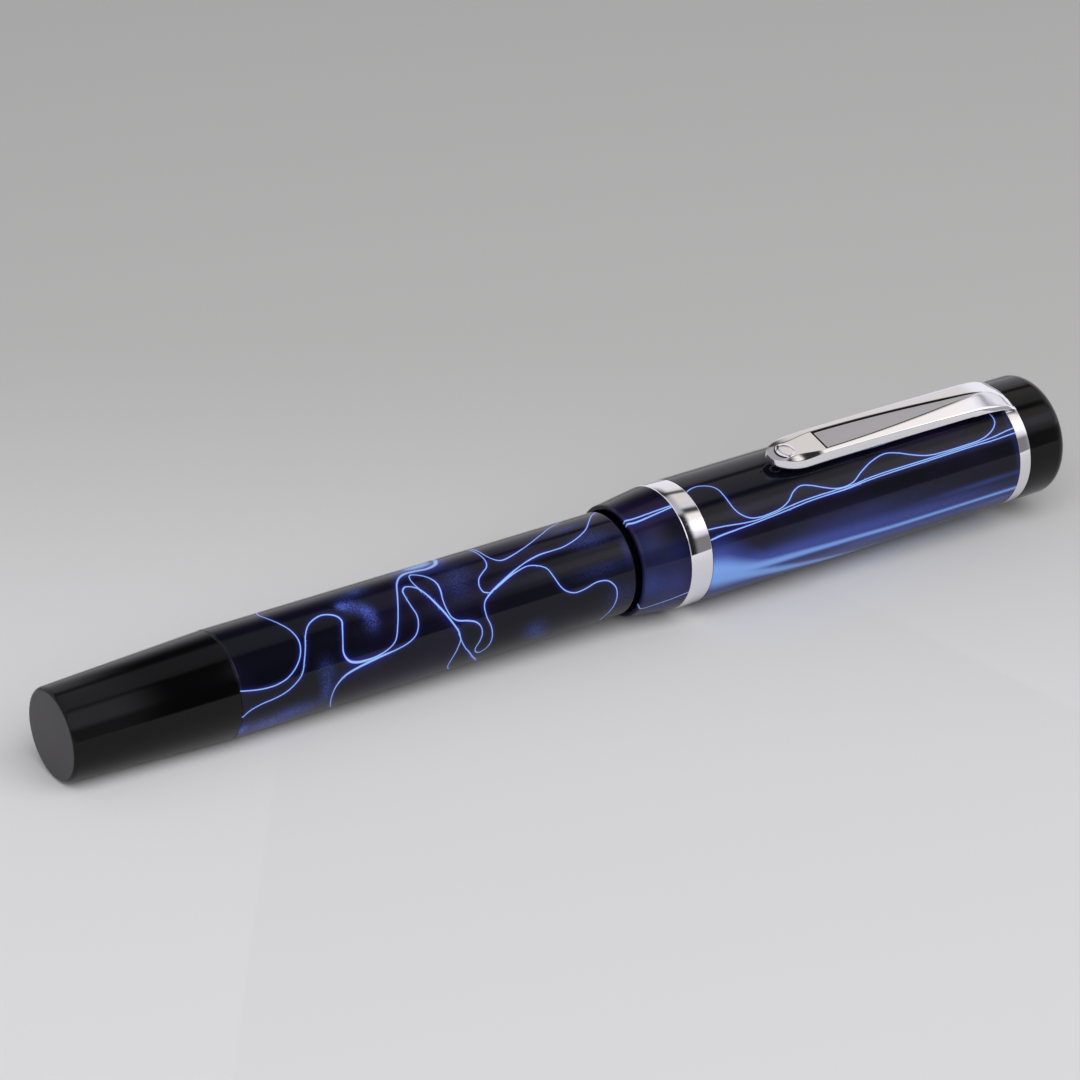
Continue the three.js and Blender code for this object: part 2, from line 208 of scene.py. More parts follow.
# Handling marks: hair-fine rubs along the pen and faint cloudiness from fingers, as a
# change of roughness round a middle value and as a height for a bump.
handling, given, made = shader_group(
    "handling marks",
    [("Surface", VECTOR, (0, 0, 0)), ("Roughness", FLOAT, 0.1), ("Cloudiness", FLOAT, 0.04)],
    [("Roughness", FLOAT), ("Height", FLOAT)],
)
stretch = add(handling, "ShaderNodeMapping", Scale=(60, 900, 900))
rub = add(handling, "ShaderNodeTexNoise", Scale=1.0, Detail=3.0)
smudge = add(handling, "ShaderNodeTexNoise", Scale=140.0, Detail=2.0)
cloudy = add(handling, "ShaderNodeMath", operation="MULTIPLY")
sum_up = add(handling, "ShaderNodeMath", operation="ADD")
handling.links.new(given["Surface"], stretch.inputs["Vector"])
handling.links.new(stretch.outputs["Vector"], rub.inputs["Vector"])
handling.links.new(given["Surface"], smudge.inputs["Vector"])
handling.links.new(smudge.outputs["Fac"], cloudy.inputs[0])
handling.links.new(given["Cloudiness"], cloudy.inputs[1])
handling.links.new(cloudy.outputs[0], sum_up.inputs[0])
handling.links.new(given["Roughness"], sum_up.inputs[1])
handling.links.new(sum_up.outputs[0], made["Roughness"])
handling.links.new(rub.outputs["Fac"], made["Height"])


def use_group(tree, group, surface, **settings):
    """Places a group in a material with its own values."""
    node = add(tree, "ShaderNodeGroup", node_tree=group)
    for label, value in settings.items():
        node.inputs[label.replace("_", " ")].default_value = value
    tree.links.new(surface, node.inputs["Surface"])
    return node


def bump_from(tree, shader, height, strength, distance=0.00002):
    """Feeds a height into the shader's normal."""
    bump = add(tree, "ShaderNodeBump", Strength=strength, Distance=distance)
    tree.links.new(height, bump.inputs["Height"])
    tree.links.new(bump.outputs["Normal"], shader.inputs["Normal"])


def marked(tree, shader, surface, roughness, cloudiness, strength):
    """Gives a shader the handling marks at its own roughness."""
    marks = use_group(tree, handling, surface, Roughness=roughness, Cloudiness=cloudiness)
    tree.links.new(marks.outputs["Roughness"], shader.inputs["Roughness"])
    bump_from(tree, shader, marks.outputs["Height"], strength)


def even_material(name, roughness, cloudiness, strength, **settings):
    """A material of one colour with the handling marks."""
    material, tree, shader, surface = fresh_material(name, **settings)
    marked(tree, shader, surface, roughness, cloudiness, strength)
    return material


def lay_over(tree, under, color, mask):
    """A colour laid over another by a mask; either colour may be a constant or a socket."""
    mix = add(tree, "ShaderNodeMix", data_type="RGBA")
    factor, first, second = mix.inputs[0], mix.inputs[6], mix.inputs[7]
    for source, socket in ((under, first), (color, second)):
        if isinstance(source, tuple):
            socket.default_value = source
        else:
            tree.links.new(source, socket)
    tree.links.new(mask, factor)
    return mix.outputs[2]


black_resin = even_material(
    "polished black resin", 0.07, 0.06, 0.04, Base_Color=(0.0012, 0.0012, 0.0014, 1), IOR=1.31
)

# The face is left as it comes off fine abrasive paper: an even dark grey with a soft sheen.
sanded_resin, tree, shader, surface = fresh_material("sanded black resin", IOR=1.5)
grit = add(tree, "ShaderNodeTexNoise", Scale=5200.0, Detail=4.0)
tree.links.new(surface, grit.inputs["Vector"])
tone = lay_over(tree, (0.034, 0.032, 0.037, 1), (0.050, 0.047, 0.054, 1), grit.outputs["Fac"])
tree.links.new(tone, shader.inputs["Base Color"])
marked(tree, shader, surface, 0.5, 0.1, 0.3)

end_face, end_tenon, _ = reach("barrel_end")
seam, mouth, _ = reach("barrel")
FACE_RADIUS = 5.36
SEAM_RADIUS = 6.24
MOUTH_RADIUS = 6.15
TENON_RADIUS = 4.85
KNOB_ROOM = 4.0
END_WALL = 5.0

barrel_end = turned(
    "barrel_end_turned",
    rounded([
        (end_face, 0.0),
        (end_face, FACE_RADIUS, 0.6),
        (seam - 0.02, SEAM_RADIUS, 0.14),
        (seam, TENON_RADIUS, 0.0),
        (end_tenon, TENON_RADIUS, 0.1),
        (end_tenon, KNOB_ROOM, 0.1),
        (end_face + END_WALL, KNOB_ROOM, 0.4),
        (end_face + END_WALL, 0.0),
    ]),
    [black_resin, sanded_resin],
)
for polygon in barrel_end.data.polygons:
    flat_on_face = abs(polygon.normal.x) > 0.97 and polygon.center.x < pen_start + 0.3 * MM
    polygon.material_index = 1 if flat_on_face else 0
stand_for(barrel_end, "barrel_end")

# ---- Barrel tube ---------------------------------------------------------------------
# A tube turned from cast acrylic rod: almost black navy, with thin pale blue veins that
# wander over it where the pour folded, and clouds of blue pearl pigment. Each vein is a
# line over the surface, so the colour follows the tube and not a flat picture.


VEIN_STEP = 0.06
MM_PER_DEGREE = 0.11


def curve_through(points, width):
    """Even small steps along a smooth curve through (station, angle, half-width) points."""
    full = [(p[0], p[1], p[2] if len(p) > 2 else width) for p in points]
    ends = [full[0], *full, full[-1]]
    samples = []
    for before, start, stop, after in zip(ends, ends[1:], ends[2:], ends[3:]):
        before, start, stop, after = (np.array(p, dtype=float) for p in (before, start, stop, after))
        length = math.hypot(stop[0] - start[0], (stop[1] - start[1]) * MM_PER_DEGREE)
        steps = max(2, int(length / VEIN_STEP))
        for i in range(steps):
            t = i / steps
            samples.append(0.5 * (
                2 * start
                + (stop - before) * t
                + (2 * before - 5 * start + 4 * stop - after) * t * t
                + (3 * start - before - 3 * stop + after) * t ** 3
            ))
    samples.append(np.array(full[-1]))
    return samples


def measure_lines(stations, angles, radius, lines, width, limit):
    """For each point of a station-by-angle grid, the distance to the nearest line, counted
    in that line's half-widths up to a limit, and the same with a sign for its two sides."""
    nearest = np.full((len(stations), len(angles)), float(limit))
    sided = nearest.copy()
    station_step = stations[1] - stations[0]
    angle_step = angles[1] - angles[0]
    for line in lines:
        samples = curve_through(line, width)
        for (station, angle, half), ahead in zip(samples, samples[1:]):
            span = half * limit
            first = max(0, int((station - span - stations[0]) / station_step))
            last = min(len(stations), int((station + span - stations[0]) / station_step) + 2)
            if first >= last:
                continue
            sweep = math.degrees(span / radius)
            columns = np.arange(int((angle - sweep) / angle_step), int((angle + sweep) / angle_step) + 2)
            along = (stations[first:last] - station)[:, None]
            across = (np.radians(columns * angle_step - angle) * radius)[None, :]
            heading = np.array([ahead[0] - station, math.radians(ahead[1] - angle) * radius])
            heading /= np.linalg.norm(heading) + 1e-9
            offset = (along * heading[1] - across * heading[0]) / half
            away = np.hypot(along, across) / half
            columns = columns % len(angles)
            closer = away < nearest[first:last, columns]
            side = np.where(closer, np.sign(offset) * away, sided[first:last, columns])
            nearest[first:last, columns] = np.where(closer, away, nearest[first:last, columns])
            sided[first:last, columns] = side
    return nearest, sided


def measure_blots(stations, angles, radius, blots):
    """Soft round-edged patches (station, angle, length, width, strength) added together."""
    total = np.zeros((len(stations), len(angles)))
    for station, angle, length, width, strength in blots:
        along = (stations - station)[:, None] / length
        turn = (angles - angle + 180) % 360 - 180
        across = (np.radians(turn) * radius)[None, :] / width
        total += strength * np.exp(-(along ** 2 + across ** 2))
    return total


VEIN_HALF = 0.075
VEIN_LIMIT = 12.0
VEIN_LAYERS = 3
NEAR_VEIN = 1.4
STREAK_HALF = 0.6
STREAK_LIMIT = 3.0
TURN_STEP = 1.5


def swirled_tube(name, skin, inside, veins, streaks, blots, material, step=0.15):
    """A tube whose outside carries the swirl as values of its points. skin is the outside
    outline in mm, cut into small steps; inside is the rest of the closed outline."""
    skin = np.array(skin)
    lengths = np.concatenate([[0], np.cumsum(np.hypot(*np.diff(skin, axis=0).T))])
    marks = np.linspace(0, lengths[-1], int(lengths[-1] / step) + 1)
    outside_station = np.interp(marks, lengths, skin[:, 0])
    outside_radius = np.interp(marks, lengths, skin[:, 1])
    sides = int(360 / TURN_STEP)
    angles = np.arange(sides) * TURN_STEP
    middle = float(outside_radius.max())

    even = np.arange(skin[0, 0] - 1, skin[-1, 0] + 1, step)
    layers = [measure_lines(even, angles, middle, layer, VEIN_HALF, VEIN_LIMIT) for layer in veins]
    vein = np.minimum.reduce([plain for plain, _ in layers])
    streak, _ = measure_lines(even, angles, middle, streaks, STREAK_HALF, STREAK_LIMIT)
    pearl = measure_blots(even, angles, middle, blots)

    outline = [(s, r) for s, r in zip(outside_station, outside_radius)] + inside
    tube = turned(name, outline, [material], sides=sides)
    rows = np.interp([point[0] for point in outline], even, np.arange(len(even)))
    low = np.floor(rows).astype(int)
    part = (rows - low)[:, None]
    high = np.minimum(low + 1, len(even) - 1)
    fields = {"vein": vein, "streak": streak, "pearl": pearl}
    for number, (_, sided) in enumerate(layers):
        fields[f"vein_side_{number}"] = sided
    for label, field in fields.items():
        values = field[low] * (1 - part) + field[high] * part
        layer = tube.data.attributes.new(label, "FLOAT", "POINT")
        layer.data.foreach_set("value", values.astype(np.float32).ravel())
    return tube


# Poured swirl: turns the vein, streak and pearl values into the colour of the resin.
swirl, given, made = shader_group(
    "poured swirl",
    [("Surface", VECTOR, (0, 0, 0)), ("Violet", FLOAT, 0.3), ("Flake", FLOAT, 0.0)],
    [("Color", COLOR)],
)


def value_of(tree, label):
    return add(tree, "ShaderNodeAttribute", attribute_name=label).outputs["Fac"]


def ramp_of(tree, source, low, high, start=0.0, stop=1.0):
    """A smooth step from one value to the other."""
    step = add(tree, "ShaderNodeMapRange", interpolation_type="SMOOTHSTEP")
    step.inputs["From Min"].default_value = low
    step.inputs["From Max"].default_value = high
    step.inputs["To Min"].default_value = start
    step.inputs["To Max"].default_value = stop
    tree.links.new(source, step.inputs["Value"])
    return step.outputs["Result"]


def times(tree, first, second):
    node = add(tree, "ShaderNodeMath", operation="MULTIPLY", use_clamp=True)
    for k, source in enumerate((first, second)):
        if isinstance(source, float):
            node.inputs[k].default_value = source
        else:
            tree.links.new(source, node.inputs[k])
    return node.outputs[0]


folds = add(swirl, "ShaderNodeTexNoise", Scale=95.0, Detail=2.0, Distortion=0.6)
grains = add(swirl, "ShaderNodeTexNoise", Scale=5200.0, Detail=3.0, Roughness=0.8)
for texture in (folds, grains):
    swirl.links.new(given["Surface"], texture.inputs["Vector"])

# Close to a vein the signed distances are exact between points; further off the plain one
# is shown, so nothing appears where signs meet away from a vein.
vein_value = None
for number in range(VEIN_LAYERS):
    away = add(swirl, "ShaderNodeMath", operation="ABSOLUTE")
    swirl.links.new(value_of(swirl, f"vein_side_{number}"), away.inputs[0])
    if vein_value is None:
        vein_value = away.outputs[0]
        continue
    closest = add(swirl, "ShaderNodeMath", operation="MINIMUM")
    swirl.links.new(vein_value, closest.inputs[0])
    swirl.links.new(away.outputs[0], closest.inputs[1])
    vein_value = closest.outputs[0]
off_vein = add(swirl, "ShaderNodeMath", operation="SUBTRACT")
off_vein.inputs[1].default_value = NEAR_VEIN
vein_reach = add(swirl, "ShaderNodeMath", operation="MAXIMUM")
swirl.links.new(value_of(swirl, "vein"), off_vein.inputs[0])
swirl.links.new(vein_value, vein_reach.inputs[0])
swirl.links.new(off_vein.outputs[0], vein_reach.inputs[1])
vein_value = vein_reach.outputs[0]
streak_value = value_of(swirl, "streak")
pearl_value = value_of(swirl, "pearl")
core = ramp_of(swirl, vein_value, 0.35, 1.25, 1.0, 0.0)
fringe = ramp_of(swirl, vein_value, 1.1, 4.0, 0.75, 0.0)
glow = ramp_of(swirl, vein_value, 1.0, 10.0, 0.12, 0.0)
bright = ramp_of(swirl, streak_value, 0.1, 1.5, 1.0, 0.0)
soft = ramp_of(swirl, streak_value, 0.6, 3.0, 0.55, 0.0)
violet = times(swirl, given["Violet"], ramp_of(swirl, folds.outputs["Fac"], 0.4, 0.75))
flaked = add(swirl, "ShaderNodeMix", data_type="FLOAT")
flaked.inputs[2].default_value = 1.0
swirl.links.new(given["Flake"], flaked.inputs[0])
swirl.links.new(ramp_of(swirl, grains.outputs["Fac"], 0.38, 0.62, 0.3, 1.8), flaked.inputs[3])
sparkle = times(swirl, pearl_value, flaked.outputs[0])

color = (0.003, 0.003, 0.007, 1)
for tint, mask in (
    ((0.022, 0.010, 0.07, 1), violet),
    ((0.03, 0.035, 0.22, 1), glow),
    ((0.065, 0.10, 0.46, 1), sparkle),
    ((0.05, 0.08, 0.42, 1), soft),
    ((0.20, 0.38, 0.84, 1), bright),
    ((0.012, 0.008, 0.20, 1), fringe),
    ((0.30, 0.51, 0.92, 1), core),
):
    color = lay_over(swirl, color, tint, mask)
swirl.links.new(color, made["Color"])


def swirled_resin(name, violet, flake):
    """Polished acrylic: the poured colour under a clear glossy surface. Flake is how coarse
    the mica in the pearl looks."""
    material, tree, shader, surface = fresh_material(name, IOR=1.31)
    poured = use_group(tree, swirl, surface, Violet=violet, Flake=flake)
    tree.links.new(poured.outputs["Color"], shader.inputs["Base Color"])
    marked(tree, shader, surface, 0.07, 0.05, 0.03)
    return material


barrel_resin = swirled_resin("swirled barrel resin", 0.22, 1.0)

# Veins as (station, angle) in mm and degrees, with a half-width where one thickens. They
# are in three layers, so that veins which meet are in different ones.
barrel_veins = [
    [
        [(19.5, 71), (21.5, 75), (23, 77), (24.5, 77), (26, 73.5), (27.3, 65), (28.2, 54), (28.6, 41),
         (28.3, 27), (27.6, 14), (27, 2), (26.7, -10), (27, -20), (27.7, -32), (29, -48), (30.5, -66),
         (29.5, -84), (27, -96), (25, -112), (25.5, -132), (27.5, -150), (27, -172), (24, -190),
         (21.6, -209)],
        [(48.1, 84), (48.3, 91), (47.9, 102), (47.5, 112), (47.3, 122), (47.5, 131), (48.2, 143),
         (49, 158), (47.5, 176), (44.5, 192), (44, 212)],
        [(45.2, 27, 0.1), (45, 14), (45.2, 5), (45.6, 1, 0.12), (46.2, 4, 0.12), (47, 12, 0.1),
         (47.5, 22, 0.11), (47.5, 32, 0.11), (47.2, 44), (47.2, 54), (47.5, 63.5), (48.2, 69.5, 0.1),
         (49.5, 73, 0.11), (50.5, 77, 0.1), (51.1, 84), (51.2, 93), (50.9, 101), (50.5, 108),
         (50.6, 114), (51.2, 118, 0.09), (52, 115), (52.5, 107), (52.6, 97), (52.4, 86), (52, 76),
         (51.9, 66), (52.2, 59), (53, 53.5, 0.11), (54, 48.8, 0.12), (55.5, 43, 0.12), (57, 37.6, 0.11),
         (58.5, 33), (60, 29.5, 0.1), (61.5, 27.5, 0.1), (63, 27.5), (64.5, 27), (66, 24), (67.5, 19),
         (68.8, 12), (70.1, 0), (71.2, -10), (72.3, -17), (73.5, -20)],
        [(55.8, 318), (55.25, 340), (55.2, 355), (55.3, 367), (55.6, 374), (56.1, 379, 0.09),
         (56.8, 380.5, 0.1), (58, 378.5, 0.09), (59.5, 374.5), (61.3, 368.5), (63.5, 359), (65, 351),
         (66.5, 344), (67.5, 338), (68.5, 329), (69, 312), (66, 296), (61.5, 284), (58.5, 268),
         (60, 246), (58.5, 228), (56.3, 212)],
    ],
    [
        [(19.5, 106), (20, 102), (21, 96), (22.5, 92.5), (24, 91), (25.5, 88), (26.8, 82), (27.8, 74),
         (28.4, 62), (29, 50), (29.6, 38), (30.5, 28), (31.6, 22.5, 0.1), (32.8, 20.5, 0.11),
         (34, 25, 0.12), (34.5, 33, 0.11), (34.1, 43, 0.09), (33.6, 55), (33.3, 66, 0.1),
         (33.7, 75, 0.15), (34.6, 79.5, 0.17), (36, 81, 0.16), (37.5, 80, 0.12), (39, 76), (40, 69.5),
         (40.7, 56), (41.5, 40), (42.3, 25, 0.09), (43.2, 10, 0.11), (44.2, 0, 0.16), (45.3, -5, 0.25),
         (46.5, -4, 0.24), (48, -1.5, 0.25), (49.3, -5, 0.28), (50, -14, 0.28), (50.5, -26, 0.28),
         (51, -38, 0.19), (50, -54, 0.12), (47, -66), (44, -78), (43.5, -95), (45.5, -112), (44, -132),
         (40, -146), (36.5, -164), (34.5, -186), (33.2, -206)],
        [(54, 49.5, 0.11), (56, 42.5, 0.11), (57.5, 38.6), (59, 36.3), (60.2, 39), (61.2, 45),
         (61.6, 54), (62.1, 66), (62.8, 74), (64, 79), (65.5, 78), (67, 75), (68.5, 77), (69.5, 86),
         (69.8, 98), (69.6, 112), (69.2, 122), (68.8, 132), (69.2, 146), (70.5, 165), (68, 186),
         (63, 200), (61, 222), (64, 244), (68, 262), (71, 284), (72.8, 300)],
    ],
    [
        [(33.6, 160), (33, 150), (32.3, 137), (31.8, 125), (31.6, 113), (31.8, 103, 0.09),
         (32.3, 96, 0.11), (33.2, 90, 0.14), (34.5, 86.5, 0.15), (36, 84, 0.16), (38, 81.5, 0.14),
         (40, 79.5), (41.5, 76.5), (42.6, 71), (43.2, 62), (43.4, 52), (43.2, 42), (43.1, 32),
         (43.2, 22, 0.1), (43.8, 17, 0.11), (44.5, 19, 0.1), (45.1, 24, 0.11), (45.6, 33, 0.12),
         (46.2, 46, 0.15), (46.8, 57, 0.14), (47.5, 70, 0.12), (48.1, 81, 0.11), (48.4, 92), (49, 103),
         (49.8, 113, 0.09), (50.5, 123, 0.11), (51.3, 133, 0.12), (52, 145, 0.11), (53.5, 160),
         (56, 178), (55.5, 198), (53.5, 215), (54, 236), (57, 252), (57.5, 275), (55.2, 300),
         (54.8, 320), (54.8, 342), (54.8, 357), (54.75, 374), (54.3, 383), (53.4, 388.5), (52.6, 394),
         (52.2, 402), (52.4, 409), (53, 411.5)],
    ],
]
barrel_streaks = [
    [(46.8, -16, 0.9), (48.4, -16, 1.0), (48.6, -26, 0.9), (48.2, -40, 0.6)],
]
barrel_blots = [
    (35.5, 17, 0.55, 0.55, 0.95),
    (36.4, 20, 0.9, 0.8, 0.50),
    (37.6, 29, 0.8, 0.9, 0.42),
    (38.1, 38, 0.7, 1.0, 0.38),
    (37.6, 48, 0.8, 0.9, 0.15),
    (38.4, 0, 1.2, 0.8, 0.25),
    (36.5, 5, 1.8, 0.8, 0.10),
    (20.2, 122, 0.8, 0.8, 0.75),
    (23.0, 124, 2.4, 1.1, 0.35),
    (27.0, 118, 2.6, 1.0, 0.36),
    (25.0, 140, 4.0, 1.6, 0.30),
    (30.8, 102, 0.7, 1.6, 0.28),
    (30.9, 78, 1.0, 1.2, 0.16),
    (47.0, -18, 2.4, 1.6, 0.50),
    (49.5, 34, 1.6, 1.6, 0.14),
    (50.8, 20, 1.6, 1.2, 0.12),
    (58.6, 110, 1.4, 1.2, 0.24),
    (59.6, 122, 1.2, 0.8, 0.22),
    (66.5, 2, 2.6, 0.5, 0.22),
    (68.0, 27, 2.6, 1.0, 0.20),
    (68.0, 63, 3.4, 0.7, 0.10),
    (71.9, 50, 0.5, 1.6, 0.12),
    (70.5, 100, 2.0, 1.6, 0.10),
    (30.0, 210, 4.0, 2.4, 0.30),
    (44.0, 250, 5.0, 2.0, 0.35),
    (62.0, 176, 4.0, 1.6, 0.30),
    (66.0, 300, 4.0, 2.0, 0.30),
]
MOUTH_EDGE = 0.5
BUSH_SEAT = 5.02
KNOB_BORE = 4.55
barrel = swirled_tube(
    "barrel_tube_turned",
    rounded([
        (seam + 0.01, SEAM_RADIUS - 0.12),
        (seam + 0.01, SEAM_RADIUS, 0.12),
        (mouth, MOUTH_RADIUS, MOUTH_EDGE),
        (mouth, MOUTH_RADIUS - 0.8),
    ], steps=6)[1:],
    [
        (mouth, BUSH_SEAT), (60.2, BUSH_SEAT), (60.2, KNOB_BORE),
        (end_tenon + 0.1, KNOB_BORE), (end_tenon + 0.1, TENON_RADIUS + 0.05), (seam, TENON_RADIUS + 0.05),
    ],
    barrel_veins,
    barrel_streaks,
    barrel_blots,
    barrel_resin,
)
stand_for(barrel, "barrel")

# ---- Threaded bush -------------------------------------------------------------------
# A brass bush glued into the barrel's mouth, so that the section screws into metal and not
# into the resin. Its bore carries the female thread; the outside is plain.

THREAD_PITCH = 0.8
STEPS_PER_TURN = 7


def thread(start, end, root, ridge, outward=True):
    """Outline points of a thread that starts and runs out over one turn."""
    steps = max(8, int(abs(end - start) / THREAD_PITCH * STEPS_PER_TURN))
    points = []
    for i in range(steps + 1):
        station = start + (end - start) * i / steps
        run_out = min(1.0, i / STEPS_PER_TURN, (steps - i) / STEPS_PER_TURN)
        points.append((station, root, ridge * run_out * (1 if outward else -1)))
    return points


def metal(name, color, roughness, grain, strength, along=(30, 3000, 3000)):
    """Metal with fine marks of its last cut or polish, which run one way."""
    material, tree, shader, surface = fresh_material(name, Base_Color=(*color, 1), Metallic=1.0)
    lines = add(tree, "ShaderNodeMapping", Scale=along)
    cut = add(tree, "ShaderNodeTexNoise", Scale=1.0, Detail=4.0)
    tree.links.new(surface, lines.inputs["Vector"])
    tree.links.new(lines.outputs["Vector"], cut.inputs["Vector"])
    spread = ramp_of(tree, cut.outputs["Fac"], 0.3, 0.7, roughness - grain, roughness + grain)
    tree.links.new(spread, shader.inputs["Roughness"])
    bump_from(tree, shader, cut.outputs["Fac"], strength, 0.00001)
    return material


def turned_piece(node, finish, slot, outline, material, sides=96, **settings):
    """A piece made in the round, named for its node and finish, and put in its place."""
    piece = turned(f"{node}_{finish}", outline, [material], sides=sides, **settings)
    stand_for(piece, node)


turned_brass = metal("turned brass", (0.62, 0.43, 0.16), 0.28, 0.08, 0.25, (4000, 60, 60))
bush_start, bush_end, _ = reach("barrel_bush")
turned_piece(
    "barrel_bush", "turned", "brass",
    [(bush_start, 4.98), (bush_end, 4.98), (bush_end, 4.66)]
    + thread(bush_end, bush_start, 4.64, 0.18, outward=False)
    + [(bush_start, 4.66)],
    turned_brass,
    pitch=THREAD_PITCH,
)

# ---- Section sleeve and seal ring ----------------------------------------------------
# A steel sleeve screwed into the back of the grip. Its thread holds the section in the
# barrel, and a rubber ring in a groove beside the shoulder stops it working loose.

turned_steel = metal("turned steel", (0.60, 0.60, 0.61), 0.24, 0.07, 0.25, (4000, 60, 60))
sleeve_start, sleeve_end, _ = reach("section_sleeve")
seal_start, seal_end, _ = reach("seal_ring")
seal_middle = (seal_start + seal_end) / 2
turned_piece(
    "section_sleeve", "turned", "steel",
    [(sleeve_start, 3.85), (sleeve_start, 4.08)]
    + thread(sleeve_start + 0.1, bush_end - 0.7, 4.1, 0.18)
    + [
        (seal_middle - 0.45, 4.1), (seal_middle - 0.45, 3.98), (seal_middle + 0.45, 3.98),
        (seal_middle + 0.45, 4.3), (sleeve_end - 0.15, 4.3), (sleeve_end, 4.15), (sleeve_end, 3.85),
    ],
    turned_steel,
    pitch=THREAD_PITCH,
)

seal_rubber = even_material(
    "moulded black rubber", 0.6, 0.12, 0.25, Base_Color=(0.012, 0.012, 0.012, 1)
)
SEAL_WIRE = 0.34
SEAL_RADIUS = 4.37
turned_piece(
    "seal_ring", "moulded", "black_rubber",
    [
        (
            seal_middle + SEAL_WIRE * math.cos(math.radians(a)),
            SEAL_RADIUS + SEAL_WIRE * math.sin(math.radians(a)),
        )
        for a in range(0, 360, 24)
    ],
    seal_rubber,
)

# ---- Grip ----------------------------------------------------------------------------
# The grip is turned from the same black resin as the ends. Behind it stands the male
# thread that the cap screws onto, and its front flares so that fingers don't slip forward.

grip_start, grip_end, _ = reach("section_grip")
grip_curve = [
    (80.6, 5.12), (82.5, 5.0), (85.0, 4.88), (87.5, 4.8), (90.5, 4.75), (93.0, 4.76),
    (94.6, 4.83), (95.6, 4.96), (96.2, 5.05), (96.6, 5.06), (96.9, 4.98), (grip_end, 4.84),
]
turned_piece(
    "section_grip", "turned", "black_resin",
    [
        (grip_start, 4.42), (grip_start, 5.5), (grip_start + 0.1, 5.6),
        (grip_start + 0.9, 5.6), (grip_start + 1.0, 5.5),
    ]
    + thread(grip_start + 1.1, 79.1, 5.46, 0.24)
    + [(79.3, 5.3), (79.6, 5.28), (80.0, 5.2)]
    + grip_curve
    + [(grip_end, 4.0), (80.2, 4.0), (80.2, 4.42)],
    black_resin,
    sides=112,
    pitch=THREAD_PITCH,
)

# ---- Nib housing, feed and nib -------------------------------------------------------
# A moulded housing holds the nib and feed and carries the nipple for the converter. The
# feed is a comb of thin fins under a flat channel; the nib is a steel sheet wrapped over
# it, with a breather hole, a slit and a small ball-shaped point.

moulded_black = even_material(
    "moulded black plastic", 0.32, 0.12, 0.2, Base_Color=(0.009, 0.009, 0.01, 1)
)
housing_start, housing_end, _ = reach("nib_housing")
turned_piece(
    "nib_housing", "moulded", "black_resin",
    rounded([
        (housing_start, 0.6),
        (housing_start, 1.25, 0.25),
        (80.4, 1.25, 0.1),
        (80.4, 3.95, 0.1),
        (grip_end + 0.03, 3.95),
        (grip_end + 0.03, 4.4, 0.08),
        (housing_end, 4.4, 0.3),
        (housing_end, 3.1, 0.12),
        (84.0, 3.1, 0.3),
        (84.0, 0.6),
    ]),
    moulded_black,
)

NIB_THICKNESS = 0.3
NIB_TOP = 3.04
NIB_TAIL_HALF = 3.6
NIB_WING_HALF = 4.1
WING_START = 97.6
SHOULDER = 99.5
BREATHER = 103.5
nib_start, nib_end, _ = reach("nib")


def smooth(value, low, high):
    t = min(1.0, max(0.0, (value - low) / (high - low)))
    return t * t * (3 - 2 * t)


def nib_half_width(s):
    """Half of the sheet's width, measured round it."""
    if s < WING_START:
        return NIB_TAIL_HALF - 0.25 * smooth(s, nib_start + 1.2, nib_start)
    if s < SHOULDER:
        spread = math.sin((s - WING_START) / (SHOULDER - WING_START) * math.pi / 2)
        return NIB_TAIL_HALF + (NIB_WING_HALF - NIB_TAIL_HALF) * spread
    t = (s - SHOULDER) / (nib_end - 0.4 - SHOULDER)
    return NIB_WING_HALF * (1 - t) ** 0.85 + 0.28 * t


def nib_wrap(s):
    return NIB_TOP + 2.6 * smooth(s, 97.0, 110.0)


def nib_crest(s):
    return NIB_TOP - 0.9 * (max(0.0, s - 100) / 17) ** 2


def nib_point_on(s, across, inset):
    """A point of the sheet, across from -1 to 1, on its outside or inside."""
    angle = across * nib_half_width(s) / nib_wrap(s)
    radius = nib_wrap(s) - inset
    height = nib_crest(s) - nib_wrap(s) + radius * math.cos(angle)
    return (pen_start + s * MM, -radius * math.sin(angle) * MM, axis_height + height * MM)


def loft(name, rings, materials, crease=35.0):
    """A closed skin over rings of equal length, with a flat end on each."""
    count = len(rings[0])
    vertices = [p for ring in rings for p in ring]
    faces = []
    for r in range(len(rings) - 1):
        for k in range(count):
            here = r * count + k
            nxt = r * count + (k + 1) % count
            faces.append([here, nxt, nxt + count, here + count])
    faces.append(list(range(count)))
    faces.append([(len(rings) - 1) * count + k for k in range(count)])
    piece = mesh_object(name, vertices, faces, materials, crease)
    face_outward(piece)
    return piece


def cut_away(piece, cutters):
    """Subtracts pieces from another and removes them."""
    for cutter in cutters:
        modifier = piece.modifiers.new("cut", "BOOLEAN")
        modifier.operation = "DIFFERENCE"
        modifier.solver = "EXACT"
        modifier.object = cutter
    finished = bpy.data.meshes.new_from_object(
        piece.evaluated_get(bpy.context.evaluated_depsgraph_get())
    )
    piece.modifiers.clear()
    piece.data = finished
    for cutter in cutters:
        bpy.data.objects.remove(cutter)
    return piece


def upright_pin(name, s, radius, low, high, sides=40):
    """A short round bar across the pen, standing on the centre plane."""
    rings = []
    for height in (low, high):
        rings.append([
            (
                pen_start + (s + radius * math.cos(2 * math.pi * k / sides)) * MM,
                radius * math.sin(2 * math.pi * k / sides) * MM,
                axis_height + height * MM,
            )
            for k in range(sides)
        ])
    return loft(name, rings, [])


def block(name, low, high):
    """A plain cutter between two corners given in mm of the pen."""
    rings = []
    for s in (low[0], high[0]):
        corners = [(low[1], low[2]), (high[1], low[2]), (high[1], high[2]), (low[1], high[2])]
        rings.append([(pen_start + s * MM, y * MM, axis_height + z * MM) for y, z in corners])
    return loft(name, rings, [])


